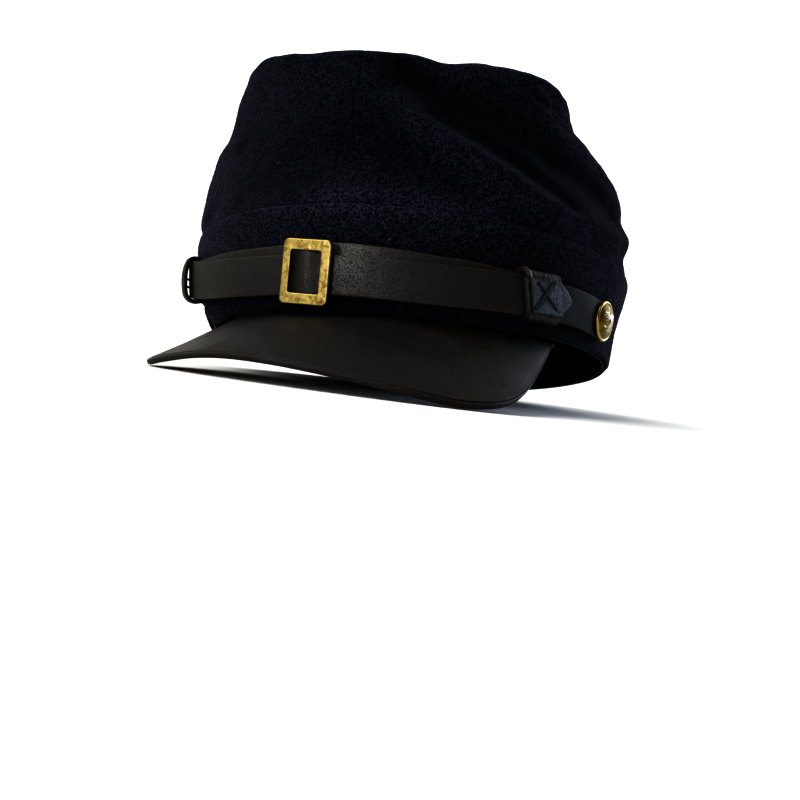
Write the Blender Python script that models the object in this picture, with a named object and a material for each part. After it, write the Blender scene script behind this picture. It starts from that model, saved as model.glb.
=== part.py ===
"""Kepi cap, at real size in metres, standing on the ground plane as it rests when it is put down.

The cap is drawn in the band's own frame, in millimetres: z = 0 is the band's bottom edge, the peak
points along -Y and the wearer's left is +X.  The last step tips that frame onto its three resting points.
"""

import bpy
import numpy as np
from math import radians

# ---- driving sizes, in millimetres and degrees, in the band's frame ----
BAND_HEIGHT = 37.8
BAND_BOTTOM = (83.5, 96.4)  # half width and half length of the wool at the bottom edge
BAND_RIDGE = (87.0, 102.7)  # the same at the ridge, where the crown is sewn on
BAND_WALL = 2.6
SIDE_LIFT = 2.0
GAP = 0.3  # clearance left between neighbouring pieces

SWEATBAND_WALL = 1.0
SWEATBAND_BELOW = 1.0  # how far its edge shows below the wool
SWEATBAND_TOP = 31.0

CROWN_WALL = 2.4
CROWN_INSET = 0.8  # the crown starts this far inside the ridge
TIP_HALF_WIDTH = 65.0
TIP_HALF_LENGTH = 61.0
TIP_SQUARENESS = 2.2  # 2 is a true ellipse
TIP_CENTRE_Y = -34.0
TIP_HEIGHT = 95.7  # top edge of the side wall at the tip's centre
TIP_RISE = 0.03  # rise of the tip per millimetre towards the back
TIP_SAG = 3.5
TIP_SEAM_SHARE = 0.945  # the disc lies on the side wall outside this share of its radius
TIP_WALL = 2.4

PEAK_THICKNESS = 2.2
PEAK_ROOT_INSET = 1.6  # how far the peak reaches in under the wool
PEAK_ENDS = (-50.0, 56.5)  # angles at which the peak ends under the wool

STRAP_HEIGHT = 14.0
STRAP_THICKNESS = 1.6
KEEPER_LENGTH = 15.0
KEEPER_WALL = 1.3
BUCKLE_ANGLE = -8.7
BUCKLE_CENTRE_Z = 11.8
BUCKLE_LEAN = 3.6  # degrees that its top leans to the wearer's left
BUCKLE_SIZE = (18.9, 23.2)
BUCKLE_WINDOW = (11.8, 15.0)
BUCKLE_THICKNESS = 1.8
BUCKLE_STANDOFF = 6.8  # back of the frame, out from the wool
BUCKLE_BAR = (3.0, 1.2)  # width and thickness of the centre bar
BUCKLE_BAR_DEPTH = -3.35  # back of the bar, behind the frame
BUCKLE_BAR_CLEARS = (-8.1, 7.4)  # the strap passes between its two legs
BUTTON_RADIUS = 7.8

REST_PITCH = 7.86  # front of the band raised
REST_ROLL = 4.03  # wearer's left side raised, because the peak hangs lower there

# One row per bulge profile: angle round the cap from the front, outward swell near the band and near the tip.
CROWN_SWELL = (
    # angle, low, high, lift; the first and last rows repeat others, so that the back has no crease
    (-230, 7.0, 8.5, 4.5),
    (-180, 12.0, 13.0, 8.0),
    (-130, 8.0, 8.0, 5.0),
    (-90, 8.0, 1.5, 1.5),
    (-45, -0.8, -2.3, 0.0),
    (0, -0.5, 0.5, 0.0),
    (45, 0.5, 0.0, 0.0),
    (90, 2.9, 4.2, 0.0),
    (130, 7.0, 8.5, 4.5),
    (180, 12.0, 13.0, 8.0),
    (230, 8.0, 8.0, 5.0),
)

# One row per fold in the crown: half width, push outwards and its line of (angle, share of the height).
CROWN_FOLDS = (
    (6.5, 3.0, ((9.5, 0.70), (21, 0.53), (31.5, 0.40), (42, 0.27), (54, 0.18), (75, 0.18), (95, 0.24))),
    (9.0, -3.4, ((14, 0.86), (32, 0.72), (46, 0.61), (60, 0.50), (84, 0.40))),
    (13.0, -1.6, ((-22, 0.58), (0, 0.42), (16, 0.22))),
    (9.0, 1.1, ((-66, 0.86), (-60, 0.70), (-50, 0.50))),
    (6.0, -4.8, ((66, 0.86), (90, 0.84), (125, 0.82))),
    (9.0, 0.8, ((84, 0.46), (100, 0.54), (125, 0.56))),
    (6.0, -1.4, ((88, 0.14), (130, 0.10))),
    (8.0, 1.4, ((-90, 0.08), (-60, 0.08))),
)

# One row per wave in the tip's outline: angle, half width in degrees, push upwards and push outwards.
RIM_WAVES = (
    (-75, 10, -0.9, 0.0),
    (-62, 11, 1.2, 0.5),
    (-46, 8, 3.3, 0.1),
    (-34, 8, 1.9, 0.0),
    (-12, 16, 1.1, -0.2),
    (24, 9, -2.4, 0.0),
    (37, 8, -0.5, 0.2),
    (60, 14, 0.2, 1.4),
    (85, 12, -0.2, -1.2),
    (105, 14, -1.3, -1.6),
)

# One row per point of the peak's outer edge, from the wearer's right to the left.
PEAK_EDGE = (
    # share, x, y, z
    (-1.00, -68.4, -55.2, -4.6),
    (-0.75, -69.3, -96.0, -19.0),
    (-0.50, -61.0, -123.5, -25.2),
    (-0.25, -34.4, -139.8, -24.2),
    (0.00, 0.0, -144.0, -27.4),
    (0.25, 34.4, -139.8, -32.8),
    (0.375, 49.5, -133.1, -34.8),
    (0.50, 61.0, -123.5, -33.5),
    (0.75, 68.7, -96.0, -21.0),
    (1.00, 68.0, -55.2, -1.6),
)

# One row per place along the peak: share, and how far its middle is arched up.
PEAK_ARCH = (
    (-1.0, -1.0),
    (-0.6, 0.2),
    (-0.3, 1.9),
    (0.0, 2.6),
    (0.5, 2.6),
    (1.0, 2.6),
)

# One row per point of a strap: angle round the band, height of its middle, distance of its inner face.
FRONT_STRAP = (
    # angle, height, standoff
    (-94.0, 20.4, 0.5),
    (-84.0, 20.6, 0.5),
    (-76.0, 20.3, 0.5),
    (-72.0, 19.8, 0.7),
    (-66.5, 18.9, 2.4),
    (-57.0, 17.0, 5.0),
    (-47.0, 13.7, 5.2),
    (-37.0, 12.1, 5.0),
    (-27.0, 11.4, 4.8),
    (-14.0, 11.3, 4.6),
    (-9.2, 11.3, 5.2),
    (-4.0, 11.2, 4.6),
    (8.0, 10.8, 4.3),
    (20.0, 10.8, 4.2),
    (33.0, 11.6, 4.3),
    (46.5, 12.9, 4.6),
    (57.0, 14.6, 4.6),
)
BACK_STRAP = (
    # angle, height, standoff
    (-65.0, 18.4, 1.0),
    (-57.0, 16.9, 2.9),
    (-47.0, 15.3, 3.0),
    (-39.0, 15.1, 2.8),
    (-24.0, 15.1, 2.0),
    (-9.2, 15.9, 1.3),
    (-3.0, 16.1, 1.4),
    (8.0, 15.4, 1.6),
    (20.0, 14.4, 1.9),
    (30.0, 13.8, 2.2),
    (46.5, 12.9, 2.6),
    (55.0, 13.3, 2.4),
    (64.0, 13.5, 1.4),
    (71.0, 13.4, 0.5),
    (77.0, 13.4, 0.5),
)

WOOL = (0.006, 0.007, 0.016, 1.0)
LEATHER = (0.012, 0.011, 0.010, 1.0)
BRASS = (0.60, 0.42, 0.13, 1.0)


def smooth(knots, values, at):
    """Natural cubic spline through the knots, read at the given places."""
    knots = np.asarray(knots, float)
    values = np.asarray(values, float)
    at = np.asarray(at, float)
    count = len(knots)
    span = np.diff(knots)
    system = np.eye(count)
    slope = np.zeros(count)
    for i in range(1, count - 1):
        system[i, i - 1 : i + 2] = (span[i - 1], 2 * (span[i - 1] + span[i]), span[i])
        slope[i] = 6 * (np.diff(values)[i] / span[i] - np.diff(values)[i - 1] / span[i - 1])
    bend = np.linalg.solve(system, slope)
    i = np.clip(np.searchsorted(knots, at) - 1, 0, count - 2)
    ahead = (knots[i + 1] - at) / span[i]
    behind = (at - knots[i]) / span[i]
    return (
        ahead * values[i]
        + behind * values[i + 1]
        + ((ahead**3 - ahead) * bend[i] + (behind**3 - behind) * bend[i + 1]) * span[i] ** 2 / 6
    )


def table_at(table, at):
    """Every column of a table but the first, splined at the given values of the first."""
    columns = np.array(table, float).T
    return [smooth(columns[0], column, at) for column in columns[1:]]


def around_band(angle, height, standoff):
    """Points beside the band: angle in degrees from the front, height, distance out from the wool."""
    angle, height, standoff = np.broadcast_arrays(*map(np.asarray, (angle, height, standoff)))
    share = height / BAND_HEIGHT
    half_width = BAND_BOTTOM[0] + (BAND_RIDGE[0] - BAND_BOTTOM[0]) * share + standoff
    half_length = BAND_BOTTOM[1] + (BAND_RIDGE[1] - BAND_BOTTOM[1]) * share + standoff
    turn = np.radians(angle)
    return np.stack([half_width * np.sin(turn), -half_length * np.cos(turn), height + 0.0], -1)


def side_lift(angle):
    """The bottom edge is cut a little higher over the ears."""
    return SIDE_LIFT * np.sin(np.radians(angle)) ** 2


def unit(vectors):
    return vectors / np.linalg.norm(vectors, axis=-1, keepdims=True)


def grid_normals(points, closed):
    """Unit normals of a grid of points, rows by columns; closed grids join their last column to the first."""
    across = np.roll(points, -1, 1) - np.roll(points, 1, 1) if closed else np.gradient(points, axis=1)
    return unit(np.cross(across, np.gradient(points, axis=0)))


def settled(points):
    """Points tipped from the band's frame onto the ground, still in millimetres."""
    pitch, roll = radians(REST_PITCH), radians(REST_ROLL)
    tip_back = np.array(
        [[1, 0, 0], [0, np.cos(pitch), np.sin(pitch)], [0, -np.sin(pitch), np.cos(pitch)]]
    )
    tip_side = np.array([[np.cos(roll), 0, -np.sin(roll)], [0, 1, 0], [np.sin(roll), 0, np.cos(roll)]])
    return np.asarray(points) @ (tip_side @ tip_back).T


def material(name, colour, roughness, metallic=0.0):
    made = bpy.data.materials.new(name)
    made.use_nodes = True
    shader = made.node_tree.nodes["Principled BSDF"]
    shader.inputs["Base Color"].default_value = colour
    shader.inputs["Roughness"].default_value = roughness
    shader.inputs["Metallic"].default_value = metallic
    return made


def add_piece(name, points, faces, finish, crease=40):
    """One named object from band-frame points, in metres, smooth but for edges over the crease angle."""
    mesh = bpy.data.meshes.new(name)
    mesh.from_pydata((settled(points) / 1000).tolist(), [], faces)
    mesh.validate()
    mesh.shade_smooth()
    mesh.set_sharp_from_angle(angle=radians(crease))
    mesh.materials.append(finish)
    piece = bpy.data.objects.new(name, mesh)
    bpy.context.scene.collection.objects.link(piece)
    return piece


def ring_faces(rows, columns, start=0):
    """Quads of a grid that closes on itself along its columns, row by row."""
    faces = []
    for row in range(rows - 1):
        for column in range(columns):
            beside = (column + 1) % columns
            low, high = start + row * columns, start + (row + 1) * columns
            faces.append((low + column, low + beside, high + beside, high + column))
    return faces


def add_wall(name, outer, inner, finish):
    """A closed ring with walls, from an outer and an inner grid of points, bottom row first."""
    columns = outer.shape[1]
    loop = np.concatenate([outer, inner[::-1], outer[:1]])
    rows = len(loop) - 1
    points = loop[:rows].reshape(-1, 3)
    faces = ring_faces(rows + 1, columns)
    faces = [tuple(corner % len(points) for corner in face) for face in faces]
    return add_piece(name, points, faces, finish)


def add_slab(name, top, bottom, finish):
    """A closed sheet with thickness, from two open grids of points that face each other."""
    rows, columns = top.shape[:2]
    points = np.concatenate([top.reshape(-1, 3), bottom.reshape(-1, 3)])
    below = rows * columns
    faces = []
    for row in range(rows - 1):
        for column in range(columns - 1):
            a = row * columns + column
            quad = (a + columns, a + columns + 1, a + 1, a)
            faces.append(quad)
            faces.append(tuple(corner + below for corner in quad[::-1]))
    rim = [column for column in range(columns - 1)]
    rim += [row * columns + columns - 1 for row in range(rows - 1)]
    rim += [(rows - 1) * columns + column for column in range(columns - 1, 0, -1)]
    rim += [row * columns for row in range(rows - 1, 0, -1)]
    for here, ahead in zip(rim, rim[1:] + rim[:1]):
        faces.append((here, ahead, ahead + below, here + below))
    return add_piece(name, points, faces, finish)


def crown_rim(angle, waves=1.0):
    """The tip's outline: a soft ellipse with waves where the cloth puckers, at the given strength."""
    turn = np.radians(angle)
    square = (np.abs(np.sin(turn)) ** TIP_SQUARENESS + np.abs(np.cos(turn)) ** TIP_SQUARENESS) ** (
        -1 / TIP_SQUARENESS
    )
    up, out = 0.0, 0.0
    for middle, half_width, wave_up, wave_out in RIM_WAVES:
        wave = np.exp(-(((np.mod(angle - middle + 180, 360) - 180) / half_width) ** 2))
        up = up + waves * wave_up * wave
        out = out + waves * wave_out * wave
    x = (TIP_HALF_WIDTH + out) * square * np.sin(turn)
    y = TIP_CENTRE_Y - (TIP_HALF_LENGTH + out) * square * np.cos(turn)
    return np.stack([x, y, TIP_HEIGHT + TIP_RISE * (y - TIP_CENTRE_Y) + up], -1)


def fold_offset(angle, share):
    """Outward push of all folds: each is a soft ridge or valley along a line on the wall."""
    angle, share = np.broadcast_arrays(angle, share)
    push = np.zeros(angle.shape)
    scale = np.array([1.6, 75.0])  # millimetres for a degree round the wall and for its whole height
    here = np.stack([angle, share], -1) * scale
    for half_width, outward, line in CROWN_FOLDS:
        points = np.array(line) * scale
        away = np.full(angle.shape, np.inf)
        for start, end in zip(points[:-1], points[1:]):
            along = end - start
            part = np.clip((here - start) @ along / (along @ along), 0, 1)
            away = np.minimum(away, np.linalg.norm(here - start - part[..., None] * along, axis=-1))
        push += outward * np.exp(-((away / half_width) ** 2))
    return push * np.clip(share / 0.08, 0, 1) * np.clip((1 - share) / 0.05, 0, 1)


def crown_surface(columns=108, rows=21):
    """Outer surface of the crown's side wall, from the band's ridge to the tip's edge."""
    angle = np.linspace(-180, 180, columns, endpoint=False)[None, :]
    share = np.linspace(0, 1, rows)[:, None]
    foot = around_band(angle, BAND_HEIGHT, -CROWN_INSET) + (0, 0, GAP)
    rim = crown_rim(angle)
    low, high, lift = table_at(CROWN_SWELL, angle)
    swell = 6.75 * (low * share * (1 - share) ** 2 + high * share**2 * (1 - share))
    turn = np.radians(angle)
    outward = np.stack([np.sin(turn), -np.cos(turn), 0 * turn], -1)
    surface = foot + (rim - foot) * share[..., None]
    surface = surface + outward * (swell + fold_offset(angle, share))[..., None]
    surface[..., 2] += 4 * lift * share * (1 - share)
    return surface


def make_crown(finish):
    """The soft side wall, thick along its own normal except at its two sewn edges."""
    outer = crown_surface()
    rows = len(outer)
    turn = np.radians(np.linspace(-180, 180, outer.shape[1], endpoint=False))
    level = np.stack([np.sin(turn), -np.cos(turn), 0 * turn], -1)[None]
    inside = np.clip(np.minimum(np.arange(rows), np.arange(rows)[::-1]) / 2, 0, 1)[:, None, None]
    normal = grid_normals(outer, True)
    normal *= np.sign((normal * level).sum(-1, keepdims=True))
    inner = outer - CROWN_WALL * unit(normal * inside + level * (1 - inside))
    return add_wall("crown", outer, inner, finish)


def make_crown_top(finish):
    """The flat round tip: a disc that sags a little inside its sewn edge."""
    columns = 64
    angle = np.linspace(-180, 180, columns, endpoint=False)
    centre = crown_rim(angle).mean(0)
    shares = (1.0, TIP_SEAM_SHARE, 0.82, 0.6, 0.3)
    rings = []
    for share in shares:
        ring = centre + (crown_rim(angle, min(1.0, share / 0.9) ** 5) - centre) * share
        ring[:, 2] -= TIP_SAG * max(0.0, 1 - (share / TIP_SEAM_SHARE) ** 2)
        rings.append(ring)
    bottom = np.array(rings) + (0, 0, GAP)
    top = bottom + (0, 0, TIP_WALL)
    top[0, :, 2] -= 0.7
    points = np.concatenate([bottom[::-1].reshape(-1, 3), top.reshape(-1, 3)])
    faces = ring_faces(2 * len(shares), columns)
    last = len(points) - columns
    points = np.concatenate([points, bottom[-1:].mean(1), top[-1:].mean(1)])
    for column in range(columns):
        beside = (column + 1) % columns
        faces.append((beside, column, len(points) - 2))
        faces.append((last + column, last + beside, len(points) - 1))
    return add_piece("crown_top", points, faces, finish)


def make_band(finish):
    angle = np.linspace(-180, 180, 64, endpoint=False)[None, :]
    height = np.array([0.0, 12.0, 25.0, 36.4, BAND_HEIGHT])[:, None]
    height = height + side_lift(angle) * (1 - height / BAND_HEIGHT)
    bulge = np.array([-0.3, 0.0, 0.2, 0.5, -0.3])[:, None]
    outer = around_band(angle, height, bulge)
    inner = around_band(angle, height, -BAND_WALL)
    return add_wall("band", outer, inner, finish)


def make_sweatband(finish):
    angle = np.linspace(-180, 180, 64, endpoint=False)[None, :]
    height = np.linspace(-SWEATBAND_BELOW, SWEATBAND_TOP, 4)[:, None]
    height = height + side_lift(angle) * (1 - height / BAND_HEIGHT)
    outer = around_band(angle, height, -BAND_WALL - GAP)
    inner = around_band(angle, height, -BAND_WALL - GAP - SWEATBAND_WALL)
    return add_wall("sweatband", outer, inner, finish)


def make_peak(finish):
    """The leather peak: ruled from the band to its outer edge, and arched except at its right end."""
    share = np.linspace(-1, 1, 41)[None, :]
    out = np.linspace(0, 1, 8)[:, None]
    angle = PEAK_ENDS[0] + (PEAK_ENDS[1] - PEAK_ENDS[0]) * (share + 1) / 2
    root = around_band(angle, 0.0, -PEAK_ROOT_INSET) - (0, 0, 1.5 * GAP)
    edge = np.stack(table_at(PEAK_EDGE, share), -1)
    ruled = root + (edge - root) * out[..., None]
    reach = np.linalg.norm(edge - root, axis=-1)
    arch = table_at(PEAK_ARCH, share)[0] * np.clip(reach / 55, 0, 1) * 4 * out * (1 - out)
    top = ruled - arch[..., None] * grid_normals(ruled, False)
    bottom = top + PEAK_THICKNESS * grid_normals(top, False)
    return add_slab("peak", top, bottom, finish)


def make_strap(name, table, tip_share, finish):
    """A flat strap round the band; tip_share gives the strap's height along its last millimetres."""
    first, last = table[0][0], table[-1][0]
    angle = np.concatenate([np.linspace(first, last - 5, 44), np.linspace(last - 4, last, 4)])
    height, standoff = table_at(table, angle)
    taper = np.ones(len(angle))
    taper[-len(tip_share) :] = tip_share
    half = taper * STRAP_HEIGHT / 2
    section = ((-1, 0), (1, 0), (1, 1), (-1, 1))
    loops = [around_band(angle, height + up * half, standoff + out * STRAP_THICKNESS) for up, out in section]
    points = np.stack(loops, 1).reshape(-1, 3)
    faces = ring_faces(len(angle), 4)
    faces.append((3, 2, 1, 0))
    end = len(points)
    faces.append((end - 4, end - 3, end - 2, end - 1))
    return add_piece(name, points, faces, finish)


def make_keeper(name, middle, slack, finish):
    """A leather loop round both straps; slack is the extra room in front of them."""
    reach = np.degrees(KEEPER_LENGTH / 2 / 92)
    angle = np.linspace(middle - reach, middle + reach, 7)
    height_back, back = table_at(BACK_STRAP, angle)
    height_front, front = table_at(FRONT_STRAP, angle)
    low = np.minimum(height_back, height_front) - STRAP_HEIGHT / 2 - GAP
    high = np.maximum(height_back, height_front) + STRAP_HEIGHT / 2 + GAP
    near = back - GAP
    far = front + STRAP_THICKNESS + GAP + slack
    wall = KEEPER_WALL
    corner = 0.3
    hole = (
        (low, near), (high, near), (high, far - corner), (high - corner, far),
        (low + corner, far), (low, far - corner),
    )
    skin = (
        (low - wall, near - wall), (high + wall, near - wall), (high + wall, far),
        (high, far + wall), (low, far + wall), (low - wall, far),
    )
    inner = np.stack([around_band(angle, up, out) for up, out in hole], 1)
    outer = np.stack([around_band(angle, up, out) for up, out in skin], 1)
    loop = np.concatenate([outer, inner[::-1]])
    points = loop.reshape(-1, 3)
    faces = ring_faces(len(loop) + 1, 6)
    faces = [tuple(corner % len(points) for corner in face) for face in faces]
    return add_piece(name, points, faces, finish)


def local_axes(angle, height, standoff, lean=0.0):
    """Place beside the wool and the directions along, up and out from there, leaning by so many degrees."""
    here = around_band(angle, height, standoff)
    along = unit(around_band(angle + 0.5, height, 0.0) - around_band(angle - 0.5, height, 0.0))
    up = unit(around_band(angle, height + 1, 0.0) - around_band(angle, height - 1, 0.0))
    c, s = np.cos(radians(lean)), np.sin(radians(lean))
    return here, np.stack([along * c - up * s, up * c + along * s, np.cross(along, up)])


def rounded_outline(width, height, radius, steps=4):
    """Outline of a rectangle with round corners, anticlockwise."""
    points = []
    for quarter, (side, rise) in enumerate(((1, 1), (-1, 1), (-1, -1), (1, -1))):
        for turn in np.linspace(0, 90, steps + 1):
            around = radians(turn + 90 * quarter)
            x = side * (width / 2 - radius) + radius * np.cos(around)
            y = rise * (height / 2 - radius) + radius * np.sin(around)
            points.append((x, y))
    return np.array(points)


def make_buckle(finish):
    """A flat frame in front of the front strap; its recessed centre bar passes behind that strap."""
    outer = rounded_outline(*BUCKLE_SIZE, 2.2)
    inner = rounded_outline(*BUCKLE_WINDOW, 0.8)
    front = BUCKLE_THICKNESS
    bevel = 0.35
    rings = (
        (outer, 0.0), (outer, front - bevel), (outer * (1 - bevel / 9), front),
        (inner * (1 + bevel / 6), front), (inner, front - bevel), (inner, 0.0),
    )
    points = np.concatenate([np.column_stack([ring, np.full(len(ring), out)]) for ring, out in rings])
    faces = ring_faces(len(rings) + 1, len(outer))
    faces = [tuple(corner % len(points) for corner in face) for face in faces]
    here, axes = local_axes(BUCKLE_ANGLE, BUCKLE_CENTRE_Z, BUCKLE_STANDOFF, BUCKLE_LEAN)
    frame = add_piece("buckle", here + points @ axes, faces, finish)

    width, thickness = BUCKLE_BAR
    below, above = BUCKLE_BAR_CLEARS
    low, high = below - 1.8, above + 1.8
    near, mid, far = BUCKLE_BAR_DEPTH, BUCKLE_BAR_DEPTH + thickness, 0.6
    outline = (
        (low, near), (high, near), (high, far), (above, far), (above, mid), (below, mid), (below, far),
        (low, far),
    )
    sides = [[(side * width / 2, up, out) for up, out in outline] for side in (-1, 1)]
    count = len(outline)
    faces = [(i, (i + 1) % count, count + (i + 1) % count, count + i) for i in range(count)]
    faces += [tuple(range(count))[::-1], tuple(range(count, 2 * count))]
    bar = add_piece("buckle_bar", here + np.concatenate(sides) @ axes, faces, finish)
    bar.hide_render = True
    bar.display_type = "WIRE"
    join = frame.modifiers.new("centre bar", "BOOLEAN")
    join.operation = "UNION"
    join.object = bar
    return frame


def make_button(name, angle, height, standoff, finish):
    """A domed button with a rolled rim, turned about its own axis."""
    radius = BUTTON_RADIUS
    profile = (
        (0.86 * radius, 0.0), (0.97 * radius, 0.35), (radius, 0.9), (0.97 * radius, 1.4),
        (0.91 * radius, 1.5), (0.87 * radius, 1.25), (0.74 * radius, 2.1), (0.55 * radius, 2.9),
        (0.32 * radius, 3.4), (0.12 * radius, 3.6),
    )
    columns = 28
    turn = np.linspace(0, 2 * np.pi, columns, endpoint=False)
    rings = [np.stack([r * np.cos(turn), r * np.sin(turn), 0 * turn + out], -1) for r, out in profile]
    points = np.concatenate([*rings, [(0, 0, 0)], [(0, 0, 3.65)]])
    faces = ring_faces(len(profile), columns)
    last = (len(profile) - 1) * columns
    for column in range(columns):
        beside = (column + 1) % columns
        faces.append((beside, column, len(points) - 2))
        faces.append((last + column, last + beside, len(points) - 1))
    here, axes = local_axes(angle, height, standoff)
    return add_piece(name, here + points @ axes, faces, finish, crease=30)


def stand_on_ground(pieces):
    """Moves every mesh so that the cap's lowest point is on the ground and its box is centred."""
    corners = np.array([vertex.co for piece in pieces for vertex in piece.data.vertices])
    low, high = corners.min(0), corners.max(0)
    shift = -np.array([(low[0] + high[0]) / 2, (low[1] + high[1]) / 2, low[2]])
    for piece in pieces:
        for vertex in piece.data.vertices:
            vertex.co = vertex.co[:] + shift


def main():
    for old in list(bpy.data.objects):
        bpy.data.objects.remove(old)
    wool = material("wool", WOOL, 0.95)
    leather = material("leather", LEATHER, 0.5)
    brass = material("brass", BRASS, 0.3, 1.0)
    make_band(wool)
    make_crown(wool)
    make_crown_top(wool)
    make_sweatband(leather)
    make_peak(leather)
    make_strap("strap_front", FRONT_STRAP, (1.0, 0.96, 0.74, 0.30), leather)
    make_strap("strap_back", BACK_STRAP, (1.0, 1.0, 0.9, 0.6), leather)
    make_keeper("keeper_right", 46.0, 0.0, leather)
    make_keeper("keeper_left", -57.0, 1.6, leather)
    make_buckle(brass)
    make_button("button_left", 71.8, 13.0, 0.5 + STRAP_THICKNESS + GAP, brass)
    make_button("button_right", -88.0, 20.4, 0.5 + STRAP_THICKNESS + GAP, brass)
    stand_on_ground(list(bpy.data.objects))


main()
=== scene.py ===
"""Kepi cap: the cloth, leather and brass that are seen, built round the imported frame.

Every piece is drawn in the band's own frame, in millimetres: z = 0 is the band's bottom edge, the
peak points along -Y and the wearer's left is +X.  `Placement` then tips that frame the way the cap
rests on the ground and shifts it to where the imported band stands.
"""

import logging
from dataclasses import dataclass, field
from enum import Enum
from itertools import product
from math import radians
from typing import ClassVar

import bpy
import numpy as np
from mathutils import Matrix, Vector
from numpy.typing import NDArray


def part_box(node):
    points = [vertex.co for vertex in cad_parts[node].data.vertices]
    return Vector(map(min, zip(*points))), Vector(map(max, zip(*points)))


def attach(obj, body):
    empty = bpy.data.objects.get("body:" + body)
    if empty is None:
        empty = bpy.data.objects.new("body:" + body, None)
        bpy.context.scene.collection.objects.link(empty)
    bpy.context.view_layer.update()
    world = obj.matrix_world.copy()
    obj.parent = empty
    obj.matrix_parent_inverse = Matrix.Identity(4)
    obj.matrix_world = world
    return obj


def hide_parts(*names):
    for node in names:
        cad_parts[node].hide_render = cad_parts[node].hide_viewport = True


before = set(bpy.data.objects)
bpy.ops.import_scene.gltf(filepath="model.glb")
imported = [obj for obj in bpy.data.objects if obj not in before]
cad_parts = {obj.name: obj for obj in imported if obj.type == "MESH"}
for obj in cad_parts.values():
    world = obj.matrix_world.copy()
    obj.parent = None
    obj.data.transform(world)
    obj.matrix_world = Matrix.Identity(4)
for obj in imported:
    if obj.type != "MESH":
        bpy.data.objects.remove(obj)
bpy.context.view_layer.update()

Array = NDArray[np.float64]
Indices = NDArray[np.int64]
Table = tuple[tuple[float, ...], ...]
Pair = tuple[float, float]
Triple = tuple[float, float, float]
Colour = Triple
Socket = bpy.types.NodeSocket
Material = bpy.types.Material
log = logging.getLogger("kepi")


class Slot(Enum):
    """The record's material slots."""

    WOOL = "wool"
    LEATHER = "leather"
    BRASS = "brass"


# ---- numbers and curves


def spline(knots: Array, values: Array, at: Array) -> Array:
    """Natural cubic spline through short lists of knots.

    Between two knots the value is a * v0 + b * v1 + ((a^3 - a) * m0 + (b^3 - b) * m1) * span^2 / 6,
    where a and b are the shares still ahead and already behind, and m the bends that keep the slope
    the same on both sides of each knot.

    Args:
        knots: where the values stand, rising.
        values: one value per knot.
        at: where to read the curve.

    Returns:
        The curve's value at every place in `at`.
    """
    knots, values, at = (np.asarray(x, float) for x in (knots, values, at))
    span = np.diff(knots)
    inner = np.arange(1, len(knots) - 1)
    system = np.eye(len(knots))
    system[inner, inner - 1] = span[:-1]
    system[inner, inner] = 2 * (span[:-1] + span[1:])
    system[inner, inner + 1] = span[1:]
    change = np.zeros(len(knots))
    change[inner] = 6 * np.diff(np.diff(values) / span)
    bend = np.linalg.solve(system, change)
    i = np.clip(np.searchsorted(knots, at) - 1, 0, len(knots) - 2)
    ahead = (knots[i + 1] - at) / span[i]
    behind = (at - knots[i]) / span[i]
    curved = (ahead**3 - ahead) * bend[i] + (behind**3 - behind) * bend[i + 1]
    return ahead * values[i] + behind * values[i + 1] + curved * span[i] ** 2 / 6


def columns_at(table: Table, at: Array) -> list[Array]:
    """Reads every column of a table but the first, splined at the given values of the first.

    Args:
        table: rows of numbers whose first column rises.
        at: values of the first column.

    Returns:
        One array for each later column.
    """
    columns = np.array(table, float).T
    return [spline(columns[0], column, at) for column in columns[1:]]


def unit(vectors: Array) -> Array:
    """The vectors, each divided by its length."""
    return vectors / np.maximum(np.linalg.norm(vectors, axis=-1, keepdims=True), 1e-12)


def hump(distance: Array, half_width: float | Array) -> Array:
    """A bell of height 1: exp(-(distance / half width)^2)."""
    return np.exp(-((distance / half_width) ** 2))


def fade(value: Array, start: float, end: float) -> Array:
    """0 at start and 1 at end, eased by 3t^2 - 2t^3 between them."""
    t = np.clip((value - start) / (end - start), 0, 1)
    return t * t * (3 - 2 * t)


def degrees_from(angle: Array, at: float) -> Array:
    """How far round the angle lies from `at`, between -180 and 180 degrees."""
    return np.mod(angle - at + 180, 360) - 180


def from_line(points: Array, end: Array) -> Array:
    """Distance of each point from the straight stretch between the origin and `end`."""
    share = np.clip(points @ end / (end @ end), 0, 1)
    return np.linalg.norm(points - share[..., None] * end, axis=-1)


def lumps(points: Array, size: float, seed: int) -> Array:
    """Smooth unevenness in space, between -1 and 1.

    Each corner of a cubic lattice has a value scrambled from its own whole coordinates, and a point
    takes the eight values round it, weighted along each axis by 3t^2 - 2t^3.

    Args:
        points: places, in millimetres.
        size: the lattice's spacing, in millimetres.
        seed: picks another scramble.

    Returns:
        One value per point.
    """
    place = np.asarray(points, float) / size + 4096.0
    cell = np.floor(place).astype(np.uint64)
    t = place - cell
    t = t * t * (3 - 2 * t)
    total = np.zeros(place.shape[:-1])
    mix = np.array([73856093, 19349663, 83492791], np.uint64)
    for corner in product((0, 1), repeat=3):
        key = ((cell + np.array(corner, np.uint64)) * mix).sum(-1) + np.uint64(seed * 7919)
        key = (key ^ (key >> np.uint64(13))) * np.uint64(1274126177) & np.uint64(0xFFFFFFFF)
        key = (key ^ (key >> np.uint64(15))) * np.uint64(2246822519) & np.uint64(0xFFFFFFFF)
        value = (key ^ (key >> np.uint64(16))) / 2147483648.0 - 1
        total += value * np.prod(np.where(corner, t, 1 - t), axis=-1)
    return total


def rough(points: Array, layers: Table) -> Array:
    """Unevenness in layers: the sum of height * lumps(points, size, seed) over rows of those three."""
    return sum(height * lumps(points, size, seed) for height, size, seed in layers)


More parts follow.
